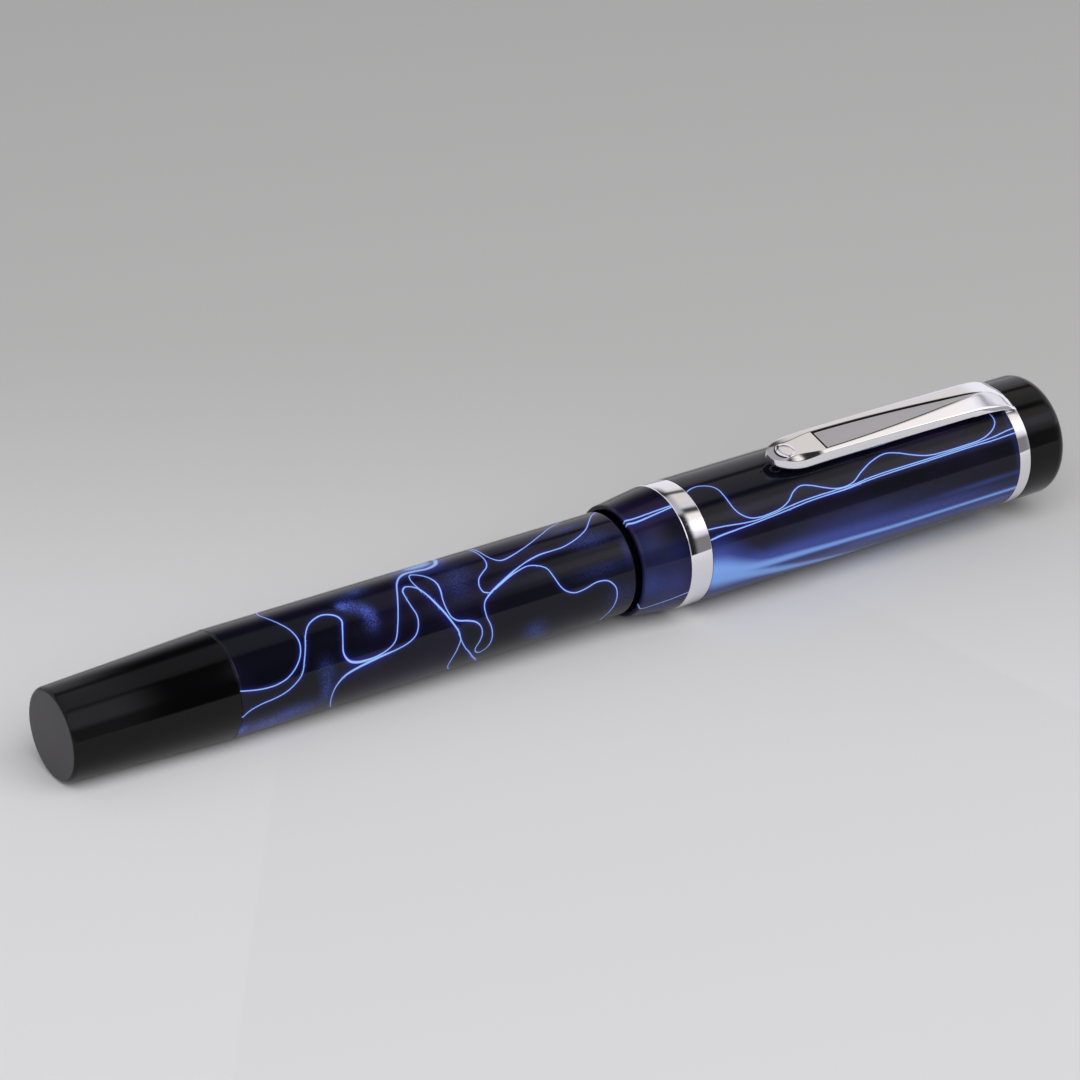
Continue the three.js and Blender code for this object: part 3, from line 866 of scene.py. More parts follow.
nib_steel = metal("polished nib steel", (0.68, 0.68, 0.69), 0.13, 0.05, 0.12)
nib_stations = [nib_start + (nib_end - 0.4 - nib_start) * i / 90 for i in range(91)]
NIB_ACROSS = 28
nib_rings = []
for s in nib_stations:
    outside = [nib_point_on(s, -1 + 2 * k / NIB_ACROSS, 0) for k in range(NIB_ACROSS + 1)]
    inside = [nib_point_on(s, 1 - 2 * k / NIB_ACROSS, NIB_THICKNESS) for k in range(NIB_ACROSS + 1)]
    nib_rings.append(outside + inside)
nib = loft("nib_formed", nib_rings, [nib_steel], crease=40.0)
nib = cut_away(nib, [
    upright_pin("breather_cutter", BREATHER, 0.62, 1.5, 4.5),
    block("slit_cutter", (BREATHER, -0.05, 0.0), (nib_end + 1, 0.05, 5.0)),
])

# The point is a bead of hard alloy welded to the tines and slit with them.
BEAD_RADIUS = 0.42
BEAD_SIDES = 24
BEAD_STEPS = 16
bead_height = nib_crest(nib_end) - 0.2
bead_rings = []
for i in range(1, BEAD_STEPS):
    turn = math.pi * i / BEAD_STEPS
    size = BEAD_RADIUS * math.sin(turn)
    bead_rings.append([
        (
            pen_start + (nib_end - BEAD_RADIUS - BEAD_RADIUS * math.cos(turn)) * MM,
            size * math.sin(2 * math.pi * k / BEAD_SIDES) * MM * 0.9,
            axis_height + (bead_height + size * math.cos(2 * math.pi * k / BEAD_SIDES)) * MM,
        )
        for k in range(BEAD_SIDES)
    ])
bead = loft("nib_bead_ground", bead_rings, [nib_steel], crease=60.0)
bead = cut_away(bead, [block("bead_slit_cutter", (nib_end - 2, -0.04, 0.0), (nib_end + 1, 0.04, 5.0))])
stand_for(nib, "nib")
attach(bead, "section")

feed_start, feed_end, _ = reach("feed")
FEED_RADIUS = 2.65
FIN_PITCH = 0.9


def feed_ring(s, fin):
    """Cross-section of the feed: a flat channelled top and a round underside."""
    top = min(FEED_RADIUS * 0.96, nib_crest(s) - 0.45 - 0.15 * smooth(s, 99, 106))
    taper = 1.0 - smooth(s, 99.0, feed_end + 2.5) * 0.9
    under = -FEED_RADIUS * taper + 1.6 * (1 - taper)
    under = under if fin else max(under, -0.1 + 1.2 * (1 - taper))
    half = math.sqrt(max(0.1, FEED_RADIUS ** 2 - max(0.0, top) ** 2)) if top > 0 else FEED_RADIUS
    ring = [(-half, top), (-0.35, top), (-0.3, top - 0.35), (0.3, top - 0.35), (0.35, top), (half, top)]
    for k in range(15):
        angle = math.radians(20 + 140 * k / 14)
        across = FEED_RADIUS * math.cos(angle) * (0.55 + 0.45 * taper)
        ring.append((across, min(top - 0.2, 0.3 + (under - 0.3) * math.sin(angle))))
    return [(pen_start + s * MM, -y * MM, axis_height + z * MM) for y, z in ring]


feed_rings = [feed_ring(feed_start, True)]
fin_station = grip_end + 1.2
while fin_station < 109.0:
    feed_rings.append(feed_ring(fin_station, True))
    feed_rings.append(feed_ring(fin_station + 0.01, False))
    feed_rings.append(feed_ring(fin_station + FIN_PITCH * 0.5, False))
    feed_rings.append(feed_ring(fin_station + FIN_PITCH * 0.5 + 0.01, True))
    fin_station += FIN_PITCH
feed_rings += [feed_ring(s, True) for s in (110.0, 111.0, 112.0, feed_end)]
feed = loft("feed_moulded", feed_rings, [moulded_black])
stand_for(feed, "feed")

# ---- Converter -----------------------------------------------------------------------
# A clear moulded tube that pushes onto the housing's nipple. A bright metal collar joins
# it to the knob, whose screw draws a rubber-sealed piston along the tube to take up ink.

clear_plastic = even_material(
    "clear moulded plastic", 0.05, 0.05, 0.05,
    Base_Color=(0.86, 0.90, 0.93, 1), IOR=1.49, Transmission_Weight=0.92,
)
polished = metal("polished bright metal", (0.93, 0.92, 0.955), 0.06, 0.02, 0.03)
tube_start, tube_end, _ = reach("converter_tube")
turned_piece(
    "converter_tube", "moulded", "clear_plastic",
    rounded([
        (tube_start, 3.05),
        (tube_start, 3.6, 0.08),
        (tube_end, 3.6, 0.5),
        (tube_end, 1.38, 0.15),
        (74.2, 1.38, 0.1),
        (73.0, 3.05, 0.5),
    ]),
    clear_plastic,
)

collar_start, collar_end, _ = reach("converter_collar")
turned_piece(
    "converter_collar", "drawn", "polished_trim",
    rounded([
        (collar_start, 1.2),
        (collar_start, 3.6, 0.15),
        (collar_start + 0.4, 3.85, 0.15),
        (collar_end - 0.4, 3.85, 0.15),
        (collar_end, 3.64, 0.05),
        (tube_start - 0.03, 3.64),
        (tube_start - 0.03, 3.05),
        (collar_start + 1.6, 3.05),
        (collar_start + 1.6, 1.2),
    ]),
    polished,
)

seal_back, seal_front, _ = reach("piston_seal")
turned_piece(
    "piston_seal", "moulded", "black_rubber",
    rounded([
        (seal_back, 1.13),
        (seal_back, 2.85, 0.1),
        (seal_back + 0.5, 3.0, 0.12),
        (seal_back + 1.0, 2.8, 0.15),
        (seal_front - 1.0, 2.8, 0.15),
        (seal_front - 0.5, 3.0, 0.12),
        (seal_front, 2.85, 0.1),
        (seal_front, 1.13),
    ]),
    seal_rubber,
)

white_plastic = even_material(
    "moulded white plastic", 0.4, 0.1, 0.15, Base_Color=(0.72, 0.72, 0.70, 1)
)
rod_start, rod_end, _ = reach("piston_rod")
ROD_PITCH = 2.2
turned_piece(
    "piston_rod", "moulded", "white_plastic",
    [(rod_start, 0), (rod_start, 0.8)]
    + [(rod_start + 0.2 + 0.2 * i, 0.9, 0.18) for i in range(int((seal_back - 1.6 - rod_start) / 0.2))]
    + [
        (seal_back - 1.2, 1.08), (seal_back - 1.0, 1.8), (seal_back - 0.04, 1.8), (seal_back - 0.03, 1.1),
        (rod_end - 0.3, 1.1), (rod_end, 0.9), (rod_end, 0),
    ],
    white_plastic,
    sides=48,
    pitch=ROD_PITCH,
)

# The knob is ribbed along its length for the fingers, with a plain waist near its back.
knob_start, knob_end, _ = reach("converter_knob")
KNOB_RADIUS = 3.52
RIBS = 30
RIB_START, RIB_END = 7.0, 18.4
RIB_DEPTH = 0.03
knob = turned(
    "converter_knob_moulded",
    rounded([
        (knob_start, 0.0),
        (knob_start, KNOB_RADIUS, 0.5),
        (knob_start + 5.2, KNOB_RADIUS, 0.15),
        (knob_start + 5.2, KNOB_RADIUS - 0.3, 0.15),
        (knob_start + 6.4, KNOB_RADIUS - 0.3, 0.15),
        (knob_start + 6.4, KNOB_RADIUS, 0.15),
        (knob_start + 18.6, KNOB_RADIUS, 0.3),
        (knob_start + 19.0, KNOB_RADIUS - 0.5, 0.1),
        (knob_end, KNOB_RADIUS - 0.5, 0.1),
        (knob_end, 1.35, 0.1),
        (knob_start + 2.0, 1.35, 0.2),
        (knob_start + 2.0, 0.0),
    ]),
    [moulded_black],
    sides=RIBS * 6,
)
for vertex in knob.data.vertices:
    station = (vertex.co.x - pen_start) / MM
    height = Vector((0, vertex.co.y, vertex.co.z - axis_height))
    ribbed = knob_start + RIB_START < station + 1e-6 and station < knob_start + RIB_END
    if ribbed and height.length > 3.0 * MM:
        turn = math.atan2(height.y, height.z) * RIBS
        height *= 1 - RIB_DEPTH * (0.5 + 0.5 * math.cos(turn))
        vertex.co.y, vertex.co.z = height.y, axis_height + height.z
stand_for(knob, "converter_knob")

# ---- Cap lip and tube ----------------------------------------------------------------
# The cap is turned in two pieces from one swirled rod: a lip with the female thread, and
# the tube it is glued into. They were cut from different lengths of rod, so the veins
# don't meet across the band.

cap_resin = swirled_resin("swirled cap resin", 0.35, 0.12)
lip_resin = swirled_resin("swirled lip resin", 0.6, 0.25)
lip_start, lip_tenon, _ = reach("cap_lip")
band_start, band_end, _ = reach("cap_band")
tube_front, tube_back, CAP_RADIUS = reach("cap_tube")
LIP_RADIUS = 6.7
BAND_BORE = 6.83
LINER_BORE = 6.35
STUD_BORE = 4.62

lip_veins = [
    [
        [(72.0, 20, 0.12), (73.4, 22, 0.14), (74.5, 23.4, 0.12), (77, 24.2, 0.1), (80, 25, 0.1)],
        [(71.8, 108), (73.0, 118), (73.5, 125.5), (74.2, 126), (75.5, 122.5), (77.5, 117.5),
         (79.8, 111.5)],
    ],
    [
        [(72.0, 23, 0.12), (73.4, 26.5, 0.16), (74.5, 28, 0.15), (77, 27.4, 0.11), (80, 26.2, 0.1)],
        [(72.0, 200), (74, 206), (76, 204), (78, 210), (80, 214)],
    ],
    [
        [(72.0, 286), (74.5, 282), (77, 288), (80, 286)],
    ],
]
lip_blots = [
    (74.0, 96, 1.6, 2.4, 0.26),
    (77.0, 100, 2.2, 2.4, 0.22),
    (74.5, 54, 1.6, 1.6, 0.12),
    (77.5, 66, 2.0, 1.4, 0.08),
    (76.0, 140, 2.0, 2.0, 0.22),
    (76.0, 240, 3.0, 3.0, 0.35),
]
cap_lip = swirled_tube(
    "cap_lip_turned",
    rounded([
        (lip_start, 6.2),
        (lip_start, LIP_RADIUS, 0.42),
        (75.0, 6.9, 1.2),
        (77.2, 7.2, 1.4),
        (band_start - 0.02, CAP_RADIUS - 0.05),
    ], steps=6),
    [(band_start - 0.02, 6.8), (lip_tenon, 6.8), (lip_tenon, 6.35), (80.4, 6.35), (80.2, 6.22)]
    + thread(79.9, 74.2, 6.2, 0.22, outward=False),
    lip_veins,
    [],
    lip_blots,
    lip_resin,
    step=0.12,
)
stand_for(cap_lip, "cap_lip")

cap_veins = [
    [
        [(81.5, 20), (82.5, 15.5), (83.5, 13), (84.5, 13.2), (85.7, 17.5), (86.3, 24), (86.5, 33),
         (86.8, 45), (87.5, 53), (88.6, 58.3), (90, 60), (91.5, 59.5), (93, 58), (94.3, 54),
         (95.5, 46.8), (96.7, 43.8), (98, 46), (99.5, 51), (101, 55.2), (102.5, 56.6), (104, 54.5),
         (105.5, 48), (107.5, 41.5), (109.7, 38.2), (111.5, 41.3), (113.5, 47.5), (115.5, 51.8),
         (118, 53), (121, 53), (123.5, 52.3), (125.3, 48.5), (126.4, 42.5), (126.7, 36), (126.4, 26),
         (125.8, 12), (123, -4), (119, -14), (112, -18), (104, -30), (99, -48), (92, -56), (86, -70),
         (81, -80)],
        [(81, 196), (86, 202), (92, 196), (99, 204), (106, 222), (114, 216), (121, 224), (130, 220)],
    ],
    [
        [(81, 56.5), (82.5, 57), (85, 58.5), (87.5, 60.8), (89.5, 61.6), (92, 60.6), (94, 58.8),
         (97, 57.2), (101, 57), (104, 57), (106, 55.6), (109, 54.8), (115, 54.8), (120, 54.5),
         (124, 54), (126, 53), (128, 51.3), (130, 50.6)],
        [(81, 258), (88, 250), (95, 262), (100, 284), (108, 290), (116, 276), (123, 286), (130, 300)],
    ],
    [
        [(81, 67), (82.5, 66.5, 0.11), (84.5, 65, 0.11), (88, 64), (91, 62.8), (94, 61.3), (97, 59.5),
         (100, 59), (103, 58.8, 0.1), (106, 57.3), (110, 56.6), (116, 56.4), (122, 56), (125, 56.4),
         (128, 55.8), (130, 55.4)],
    ],
]
cap_streaks = [
    [(81.5, 96, 1.5), (84, 100, 1.6), (87, 105, 1.2), (90, 107, 0.7), (95, 108, 0.52), (100, 109.3, 0.42),
     (105, 110.5, 0.38), (110, 111.8, 0.36), (118, 112, 0.3), (130, 112, 0.26)],
    [(81.5, 104, 1.5), (84, 107, 1.6), (87, 111, 1.3), (90, 117, 0.85), (94, 124, 0.7), (98, 130, 0.6),
     (102, 137, 0.7), (106, 146, 0.9), (112, 154, 0.8), (120, 160, 0.6), (130, 163, 0.4)],
]
cap_blots = [
    (83.0, 94, 2.0, 2.2, 0.75),
    (92.0, 99, 9.0, 1.1, 0.42),
    (104.0, 101, 10.0, 1.2, 0.46),
    (117.0, 104, 10.0, 1.0, 0.36),
    (124.0, 93, 8.0, 0.3, 0.30),
    (106.0, 121, 7.0, 1.0, 0.42),
    (118.0, 121, 9.0, 0.9, 0.42),
    (127.0, 124, 5.0, 0.8, 0.40),
    (104.0, 84, 9.0, 1.0, 0.12),
    (88.0, 150, 8.0, 2.0, 0.30),
    (104.0, 168, 12.0, 2.2, 0.40),
    (94.0, 232, 9.0, 1.8, 0.30),
    (118.0, 250, 9.0, 1.8, 0.35),
    (128.3, 52, 0.4, 2.0, 0.10),
    (128.6, 84, 0.4, 3.0, 0.12),
]
cap_tube = swirled_tube(
    "cap_tube_turned",
    [(tube_front, CAP_RADIUS), (tube_back, CAP_RADIUS)],
    [
        (tube_back, STUD_BORE), (124.2, STUD_BORE), (124.2, LINER_BORE),
        (lip_tenon + 0.2, LINER_BORE), (lip_tenon + 0.2, BAND_BORE), (tube_front, BAND_BORE),
    ],
    cap_veins,
    cap_streaks,
    cap_blots,
    cap_resin,
    step=0.17,
)
stand_for(cap_tube, "cap_tube")

# ---- Cap band, liner, clip ring, stud and crown --------------------------------------
# The wide band is a polished ring trapped between lip and tube. A black liner inside seals
# the nib from the air. The crown screws down on a brass stud and clamps the clip's ring.

turned_piece(
    "cap_band", "polished", "polished_trim",
    rounded([
        (band_start, BAND_BORE),
        (band_start, CAP_RADIUS, 0.14),
        (band_end, CAP_RADIUS, 0.14),
        (band_end, BAND_BORE),
    ], steps=5),
    polished,
    sides=192,
    crease=50.0,
)

liner_start, liner_end, _ = reach("inner_cap")
turned_piece(
    "inner_cap", "moulded", "black_resin",
    rounded([
        (liner_start, 5.1, 0.1),
        (liner_start, 6.05, 0.1),
        (liner_start + 0.6, 6.25, 0.2),
        (liner_end, 6.25, 0.3),
        (liner_end, 0.0),
        (liner_end - 1.2, 0.0),
        (liner_end - 1.2, 4.6, 0.4),
        (liner_end - 3.0, 5.1, 0.4),
    ]),
    moulded_black,
)

ring_start, ring_end, _ = reach("clip_ring")
turned_piece(
    "clip_ring", "polished", "polished_trim",
    rounded([
        (ring_start, STUD_BORE),
        (ring_start, CAP_RADIUS, 0.1),
        (ring_end, CAP_RADIUS, 0.1),
        (ring_end, STUD_BORE),
    ], steps=5),
    polished,
    sides=192,
    crease=50.0,
)

stud_start, stud_end, _ = reach("crown_stud")
turned_piece(
    "crown_stud", "turned", "brass",
    [(stud_start, 0), (stud_start, 4.2), (stud_start + 0.15, 4.35)]
    + thread(stud_start + 0.2, ring_start - 0.3, 4.37, 0.17)
    + [
        (ring_start - 0.2, 4.54), (ring_end - 0.1, 4.54),
        (ring_end - 0.1, 2.95), (stud_end, 2.95), (stud_end, 0),
    ],
    turned_brass,
    pitch=THREAD_PITCH,
)

crown_start, crown_end, _ = reach("cap_crown")
CROWN_CORNER = (2.0, 2.5)
crown_arc = [
    (
        crown_end - CROWN_CORNER[0] * (1 - math.sin(math.radians(a))),
        CAP_RADIUS - CROWN_CORNER[1] * (1 - math.cos(math.radians(a))),
    )
    for a in range(0, 91, 6)
]
turned_piece(
    "cap_crown", "turned", "black_resin",
    [
        (stud_end + 0.2, 0), (stud_end + 0.2, 2.98), (crown_start, 2.98),
        (crown_start, CAP_RADIUS - 0.08), (crown_start + 0.08, CAP_RADIUS),
    ]
    + crown_arc
    + [(crown_end, 0)],
    black_resin,
    sides=160,
)

# ---- Clip ----------------------------------------------------------------------------
# A cast and polished bar with bevelled sides. A tapering panel is left satin, with a narrow
# groove round it whose faces carry painted shade; the nose drops over a small ball that rides
# on cloth, under a round boss.

CLIP_ROLL = math.radians(16.0)
CLIP_TOP = 9.5
CLIP_UNDER = 7.9
CLIP_HALF = 2.45
FAR_SHOULDER, FAR_SLOPE = 2.38, 0.15
NEAR_SHOULDER, NEAR_SLOPE = 2.12, 0.50
ROOT_RADIUS = 7.6
ROOT_FLARE = 0.45
ROOT_BEND = 124.5
PANEL_WIDE = 101.2
PANEL_POINT = 126.6
PANEL_HALF = 1.65
PANEL_DEPTH = 0.1
GROOVE_DEPTH = 0.2
GROOVE_WIDTH = 0.2
NOSE = 4.8
NOSE_BEVEL_END = 98.5
NOSE_DROP, NOSE_LIFT = 0.25, 0.5
clip_tip, clip_root, _ = reach("clip")


def over_cap(s, across, height):
    """A point of the clip: along the pen, sideways, and height above the pen's axis."""
    return (
        pen_start + s * MM,
        (across * math.cos(CLIP_ROLL) - height * math.sin(CLIP_ROLL)) * MM,
        axis_height + (height * math.cos(CLIP_ROLL) + across * math.sin(CLIP_ROLL)) * MM,
    )


def bar_half(s):
    t = min(1.0, max(0.0, (s - clip_tip) / NOSE))
    return 0.3 + (CLIP_HALF - 0.3) * math.sqrt(max(0.0, 1 - (1 - t) ** 2))


def panel_half(s):
    share = (s - PANEL_WIDE) / (PANEL_POINT - PANEL_WIDE)
    return PANEL_HALF * (1 - min(1.0, max(0.0, share)) ** 1.8)


def flat_half(s):
    """Half-width of the level top, which closes in at the nose and widens at the root."""
    nose = 1.0 - 0.28 * smooth(s, PANEL_WIDE, 97.0)
    root = 0.8 * smooth(s, PANEL_POINT, clip_root)
    return min(bar_half(s) * 0.8, (panel_half(s) + 0.06) * nose + root)


def root_share(s):
    """How far the bar has run out into the ring, from none to all of the way."""
    return min(1.0, max(0.0, (s - ROOT_BEND) / (clip_root - ROOT_BEND))) ** 2


def root_level(across):
    """The bar runs out level with the ring that it is part of."""
    return math.sqrt(ROOT_RADIUS**2 - across**2)


def clip_side(s, shoulder, slope, flare, groove, panel):
    """One side of the bar's cross-section, from underneath to the middle of the top.
    groove and panel are how far those two lie below the top."""
    nose = min(1.0, max(0.0, (NOSE_BEVEL_END - s) / (NOSE_BEVEL_END - clip_tip))) ** 2
    root = root_share(s)
    top = CLIP_TOP - NOSE_DROP * nose
    under = CLIP_UNDER + NOSE_LIFT * nose
    slope = slope * (1 - nose)
    size = bar_half(s) / CLIP_HALF + flare * root
    half = size * CLIP_HALF
    corner = size * shoulder
    flat = flat_half(s)
    bevel = corner - flat
    low = top - bevel * slope
    rise = max(0.1, low - under)
    edge = max(0.06, min(panel_half(s), flat - 0.02))
    width = min(GROOVE_WIDTH, edge * 0.3)
    points = [(half * 0.80, under), (half * 0.95, under + 0.06), (half, under + min(0.22, rise * 0.2))]
    points += [(half * 0.99, under + rise * 0.42), (corner + 0.03, low - rise * 0.12)]
    points += [(corner + 0.01, low - rise * 0.04)]
    points += [(flat + bevel * part, top - bevel * part * slope) for part in (0.97, 0.85, 0.2, 0.05)]
    points += [(flat, top - 0.003), (edge, top), (edge - width * 0.15, top - groove)]
    points += [(edge - width, top - groove), (edge - width * 1.15, top - panel)]
    return [(across, height + (root_level(across) - height) * root) for across, height in points]


def clip_section(s, groove, panel):
    near = clip_side(s, NEAR_SHOULDER, NEAR_SLOPE, 0.0, groove, panel)
    far = clip_side(s, FAR_SHOULDER, FAR_SLOPE, ROOT_FLARE, groove, panel)
    profile = [(-across, height) for across, height in near] + far[::-1]
    return [over_cap(s, across, height) for across, height in profile]


satin = metal("satin panel metal", (0.70, 0.69, 0.71), 0.36, 0.05, 0.4, (900, 900, 900))
# Painted shade: the groove faces get a dark metal colour for the shade in the deep, narrow cut.
groove_painted_shade = even_material(
    "groove metal with painted shade", 0.5, 0.1, 0.2, Base_Color=(0.05, 0.043, 0.038, 1), Metallic=1.0
)

clip_sections = []
NOSE_STEPS = 24
for k in range(1, NOSE_STEPS + 1):
    s = clip_tip + NOSE * (1 - math.cos(k / NOSE_STEPS * math.pi / 2))
    clip_sections.append((s, 0.0, 0.0))
clip_sections += [(99.6, 0.0, 0.0), (100.5, 0.0, 0.0), (PANEL_WIDE, 0.0, 0.0)]
panel_first = len(clip_sections)
clip_sections += [
    (PANEL_WIDE + 0.015, GROOVE_DEPTH, GROOVE_DEPTH),
    (PANEL_WIDE + 0.36, GROOVE_DEPTH, GROOVE_DEPTH),
    (PANEL_WIDE + 0.375, GROOVE_DEPTH, PANEL_DEPTH + 0.03),
    (PANEL_WIDE + 0.9, GROOVE_DEPTH, PANEL_DEPTH),
]
clip_sections += [(103.0 + i, GROOVE_DEPTH, PANEL_DEPTH) for i in range(23)]
panel_last = len(clip_sections)
clip_sections += [(PANEL_POINT - 0.6, 0.0, 0.0)]
clip_sections += [(PANEL_POINT + (clip_root - PANEL_POINT) * i / 9, 0.0, 0.0) for i in range(10)]
clip_rings = [clip_section(*section) for section in clip_sections]
clip = loft("clip_bar_cast", clip_rings, [polished, satin, groove_painted_shade], crease=62.0)
SECTION_POINTS = len(clip_rings[0])
PANEL_FACE = SECTION_POINTS // 2 - 1
# The panel's middle faces are satin; the groove faces round it get the painted shade.
for row in range(panel_first - 1, panel_last):
    for k in range(PANEL_FACE - 3, PANEL_FACE + 4):
        middle = k == PANEL_FACE and row > panel_first + 1
        clip.data.polygons[row * SECTION_POINTS + k].material_index = 1 if middle else 2
stand_for(clip, "clip")


def turned_on_clip(name, s, outline, material, sides=64):
    """A small round piece standing on the clip: outline points are (radius, height)."""
    turns = [2 * math.pi * k / sides for k in range(sides)]
    rings = [
        [over_cap(s + radius * math.cos(turn), radius * math.sin(turn), height) for turn in turns]
        for radius, height in outline
    ]
    return loft(name, rings, [material], crease=40.0)


BOSS_STATION = 96.3
BOSS_FOOT = 8.9
boss_top = CLIP_TOP + 0.06
# The ring round the boss is a narrow groove with the same painted shade.
boss_ring = turned_on_clip(
    "clip_boss_groove",
    BOSS_STATION,
    [(1.36, BOSS_FOOT), (1.36, boss_top - 0.16), (1.2, boss_top - 0.15), (1.0, boss_top - 0.15)],
    groove_painted_shade,
)
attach(boss_ring, "clip")
boss = turned_on_clip(
    "clip_nose_boss",
    BOSS_STATION,
    [
        (1.22, BOSS_FOOT), (1.22, boss_top - 0.06), (1.14, boss_top),
        (0.8, boss_top + 0.03), (0.3, boss_top + 0.04),
    ],
    polished,
)
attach(boss, "clip")

ball_low, ball_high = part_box("clip_ball")
BALL_RADIUS = (ball_high.x - ball_low.x) / 2 / MM
ball_station = ((ball_low.x + ball_high.x) / 2 - pen_start) / MM
BALL_HEIGHT = 8.52
ball_outline = [
    (BALL_RADIUS * math.sin(math.radians(a)), BALL_HEIGHT - BALL_RADIUS * math.cos(math.radians(a)))
    for a in range(6, 175, 6)
]
clip_ball = turned_on_clip("clip_ball_polished", ball_station, ball_outline, polished, 48)
stand_for(clip_ball, "clip_ball")

# ---- Table, lights and camera --------------------------------------------------------
# The pen lies on a plain pale sheet in soft light from a wide box above its front. The room
# that its polished surfaces mirror is darker to the left and brightest to the right.

table_paper, tree, shader, surface = fresh_material(
    "table paper with painted falloff shade", Roughness=0.9, Specular_IOR_Level=0.0
)
# The sheet is plain; painted shade grades it from pale in front to greyer behind, across the
# pen's diagonal, standing in for light that falls off towards the back.
SHEET_NEAR, SHEET_FAR = -0.04, 0.09
SHEET_SLANT = (0.563, 0.826, 0.0)
slant = add(tree, "ShaderNodeVectorMath", operation="DOT_PRODUCT")
slant.inputs[1].default_value = SHEET_SLANT
tree.links.new(surface, slant.inputs[0])
falloff_shade = ramp_of(tree, slant.outputs["Value"], SHEET_NEAR, SHEET_FAR)
shade = lay_over(tree, (0.705, 0.70, 0.71, 1), (0.52, 0.518, 0.512, 1), falloff_shade)
tree.links.new(shade, shader.inputs["Base Color"])
tooth = add(tree, "ShaderNodeTexNoise", Scale=1800.0, Detail=3.0)
tree.links.new(surface, tooth.inputs["Vector"])
bump_from(tree, shader, tooth.outputs["Fac"], 0.05, 0.0001)
# The pen is thicker at the cap, so it rests on the cap's band and on the end piece's edge.
TABLE = 3.0
REST_START, REST_END = 0.3, 80.5
table_slope = (CAP_RADIUS - FACE_RADIUS) / (REST_END - REST_START)


def on_table(x, y):
    return (x, y, (pen_start + REST_END * MM - x) * table_slope)


table = mesh_object(
    "table_top",
    [on_table(-TABLE, -TABLE), on_table(TABLE, -TABLE), on_table(TABLE, TABLE), on_table(-TABLE, TABLE)],
    [[0, 1, 2, 3]],
    [table_paper],
)

world = bpy.data.worlds.new("studio")
bpy.context.scene.world = world
world.use_nodes = True
tree = world.node_tree
sky = tree.nodes["Background"]
direction = add(tree, "ShaderNodeTexCoord")
parts = add(tree, "ShaderNodeSeparateXYZ")
tree.links.new(direction.outputs["Generated"], parts.inputs["Vector"])
toward_front = add(tree, "ShaderNodeMath", operation="MULTIPLY")
toward_front.inputs[1].default_value = -1.0
tree.links.new(parts.outputs["Y"], toward_front.inputs[0])
lean = add(tree, "ShaderNodeMath", operation="ARCTAN2")
tree.links.new(toward_front.outputs[0], lean.inputs[0])
tree.links.new(parts.outputs["Z"], lean.inputs[1])
COOL = (1.0, 0.985, 1.05)
WARM = (1.05, 0.99, 0.94)


def room_ramp(steps):
    """Brightness round the room, from the back horizon over the top to the front horizon, as
    (degrees from straight up towards the front, brightness)."""
    fraction = add(tree, "ShaderNodeMapRange")
    fraction.inputs["From Min"].default_value = -math.pi / 2
    fraction.inputs["From Max"].default_value = math.pi / 2
    tree.links.new(lean.outputs[0], fraction.inputs["Value"])
    ramp = add(tree, "ShaderNodeValToRGB")
    tree.links.new(fraction.outputs["Result"], ramp.inputs["Fac"])
    elements = ramp.color_ramp.elements
    while len(elements) < len(steps):
        elements.new(0.5)
    for element, (degrees, brightness, *tint) in zip(elements, steps):
        red, green, blue = tint[0] if tint else COOL
        element.position = (degrees + 90) / 180
        element.color = (brightness * red, brightness * green, brightness * blue, 1)
    return ramp.outputs["Color"]


left_room = room_ramp([
    (-90, 0.80), (-72, 0.72), (-56, 0.22), (-46, 0.03), (-33, 0.03),
    (-24, 0.36), (0, 0.46), (12, 0.40), (18, 0.02), (90, 0.015),
])
right_room = room_ramp([
    (-90, 0.85), (-50, 0.78), (-43, 0.66, WARM), (-38, 0.10, WARM), (-34, 0.08, WARM),
    (-30, 0.66, WARM), (-14, 0.68, WARM), (2, 0.64), (8, 0.05), (13, 0.06), (20, 0.85, WARM),
    (30, 0.96, WARM), (36, 1.5), (46, 1.5), (52, 0.98), (60, 0.65), (66, 0.2, WARM), (90, 0.2),
])
side_room = room_ramp([
    (-90, 0.90), (-45, 0.85), (-36, 0.25), (-31, 0.25), (-26, 0.75), (12, 0.8),
    (18, 0.35), (26, 1.1), (56, 1.1), (66, 0.35), (90, 0.35),
])
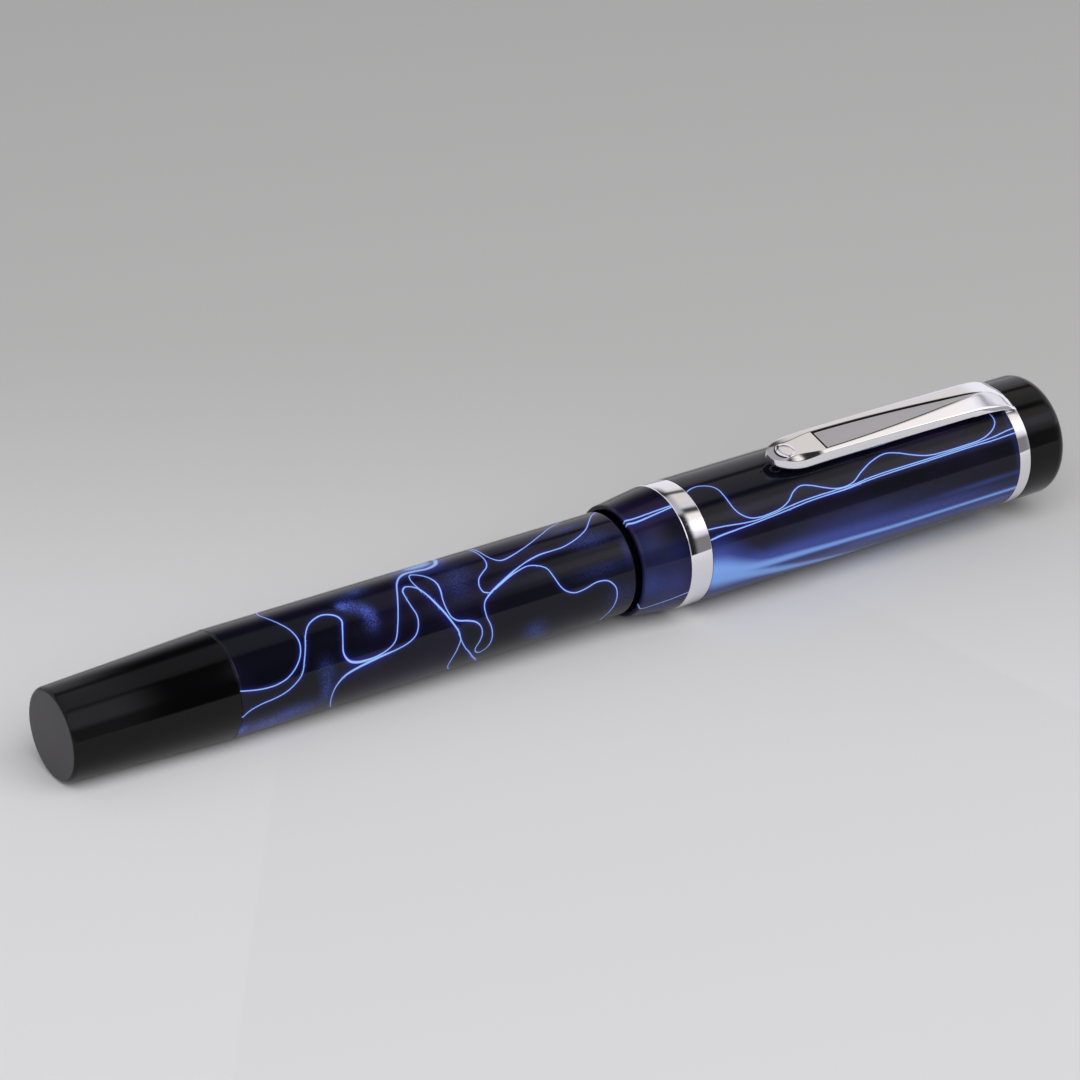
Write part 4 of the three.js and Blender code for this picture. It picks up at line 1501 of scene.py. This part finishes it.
# What the pen mirrors changes along it: the barrel shows the darker left of the room and
# the cap the bright right. Plain side walls lie beyond both.
rightward = parts.outputs["X"]
around_room = lay_over(tree, side_room, left_room, ramp_of(tree, rightward, 0.26, 0.36))
around_room = lay_over(tree, around_room, right_room, ramp_of(tree, rightward, 0.47, 0.52))
around_room = lay_over(tree, around_room, side_room, ramp_of(tree, rightward, 0.63, 0.72))
tree.links.new(around_room, sky.inputs["Color"])
sky.inputs["Strength"].default_value = 1.0

# The room is only for mirroring. Paper and camera see one even grey in its place.
plain_sky = add(tree, "ShaderNodeBackground")
plain_sky.inputs["Color"].default_value = (0.31, 0.31, 0.315, 1)
seen = add(tree, "ShaderNodeLightPath")
choose = add(tree, "ShaderNodeMixShader")
even_light = add(tree, "ShaderNodeMath", operation="MAXIMUM")
tree.links.new(seen.outputs["Is Camera Ray"], even_light.inputs[0])
tree.links.new(seen.outputs["Is Diffuse Ray"], even_light.inputs[1])
tree.links.new(even_light.outputs[0], choose.inputs["Fac"])
tree.links.new(sky.outputs["Background"], choose.inputs[1])
tree.links.new(plain_sky.outputs["Background"], choose.inputs[2])
tree.links.new(choose.outputs["Shader"], tree.nodes["World Output"].inputs["Surface"])


def soft_box(name, place, aim, size, power):
    """A rectangular light that falls on the table but isn't mirrored in the pen."""
    light = bpy.data.lights.new(name, "AREA")
    light.shape = "RECTANGLE"
    light.size, light.size_y = size
    light.energy = power
    box = bpy.data.objects.new(name, light)
    box.location = place
    box.rotation_mode = "QUATERNION"
    box.rotation_quaternion = (Vector(aim) - Vector(place)).to_track_quat("-Z", "Y")
    box.visible_glossy = False
    bpy.context.scene.collection.objects.link(box)


soft_box("front box", (-0.12, -0.50, 0.62), (0.0, 0.0, 0.0), (1.6, 0.9), 8.8)

camera = bpy.data.objects.new("camera", bpy.data.cameras.new("camera"))
camera.data.sensor_width = 36.0
camera.data.lens = 135.1
camera.data.clip_start = 0.01
EYE = Vector((pen_start - 0.1698, -0.3419, axis_height + 0.2124))
LOOK = Vector((0.5038, 0.7391, -0.4471))
camera.location = EYE
camera.rotation_mode = "QUATERNION"
camera.rotation_quaternion = LOOK.to_track_quat("-Z", "Y")
bpy.context.scene.collection.objects.link(camera)
bpy.context.scene.camera = camera
bpy.context.scene.view_settings.view_transform = "Standard"
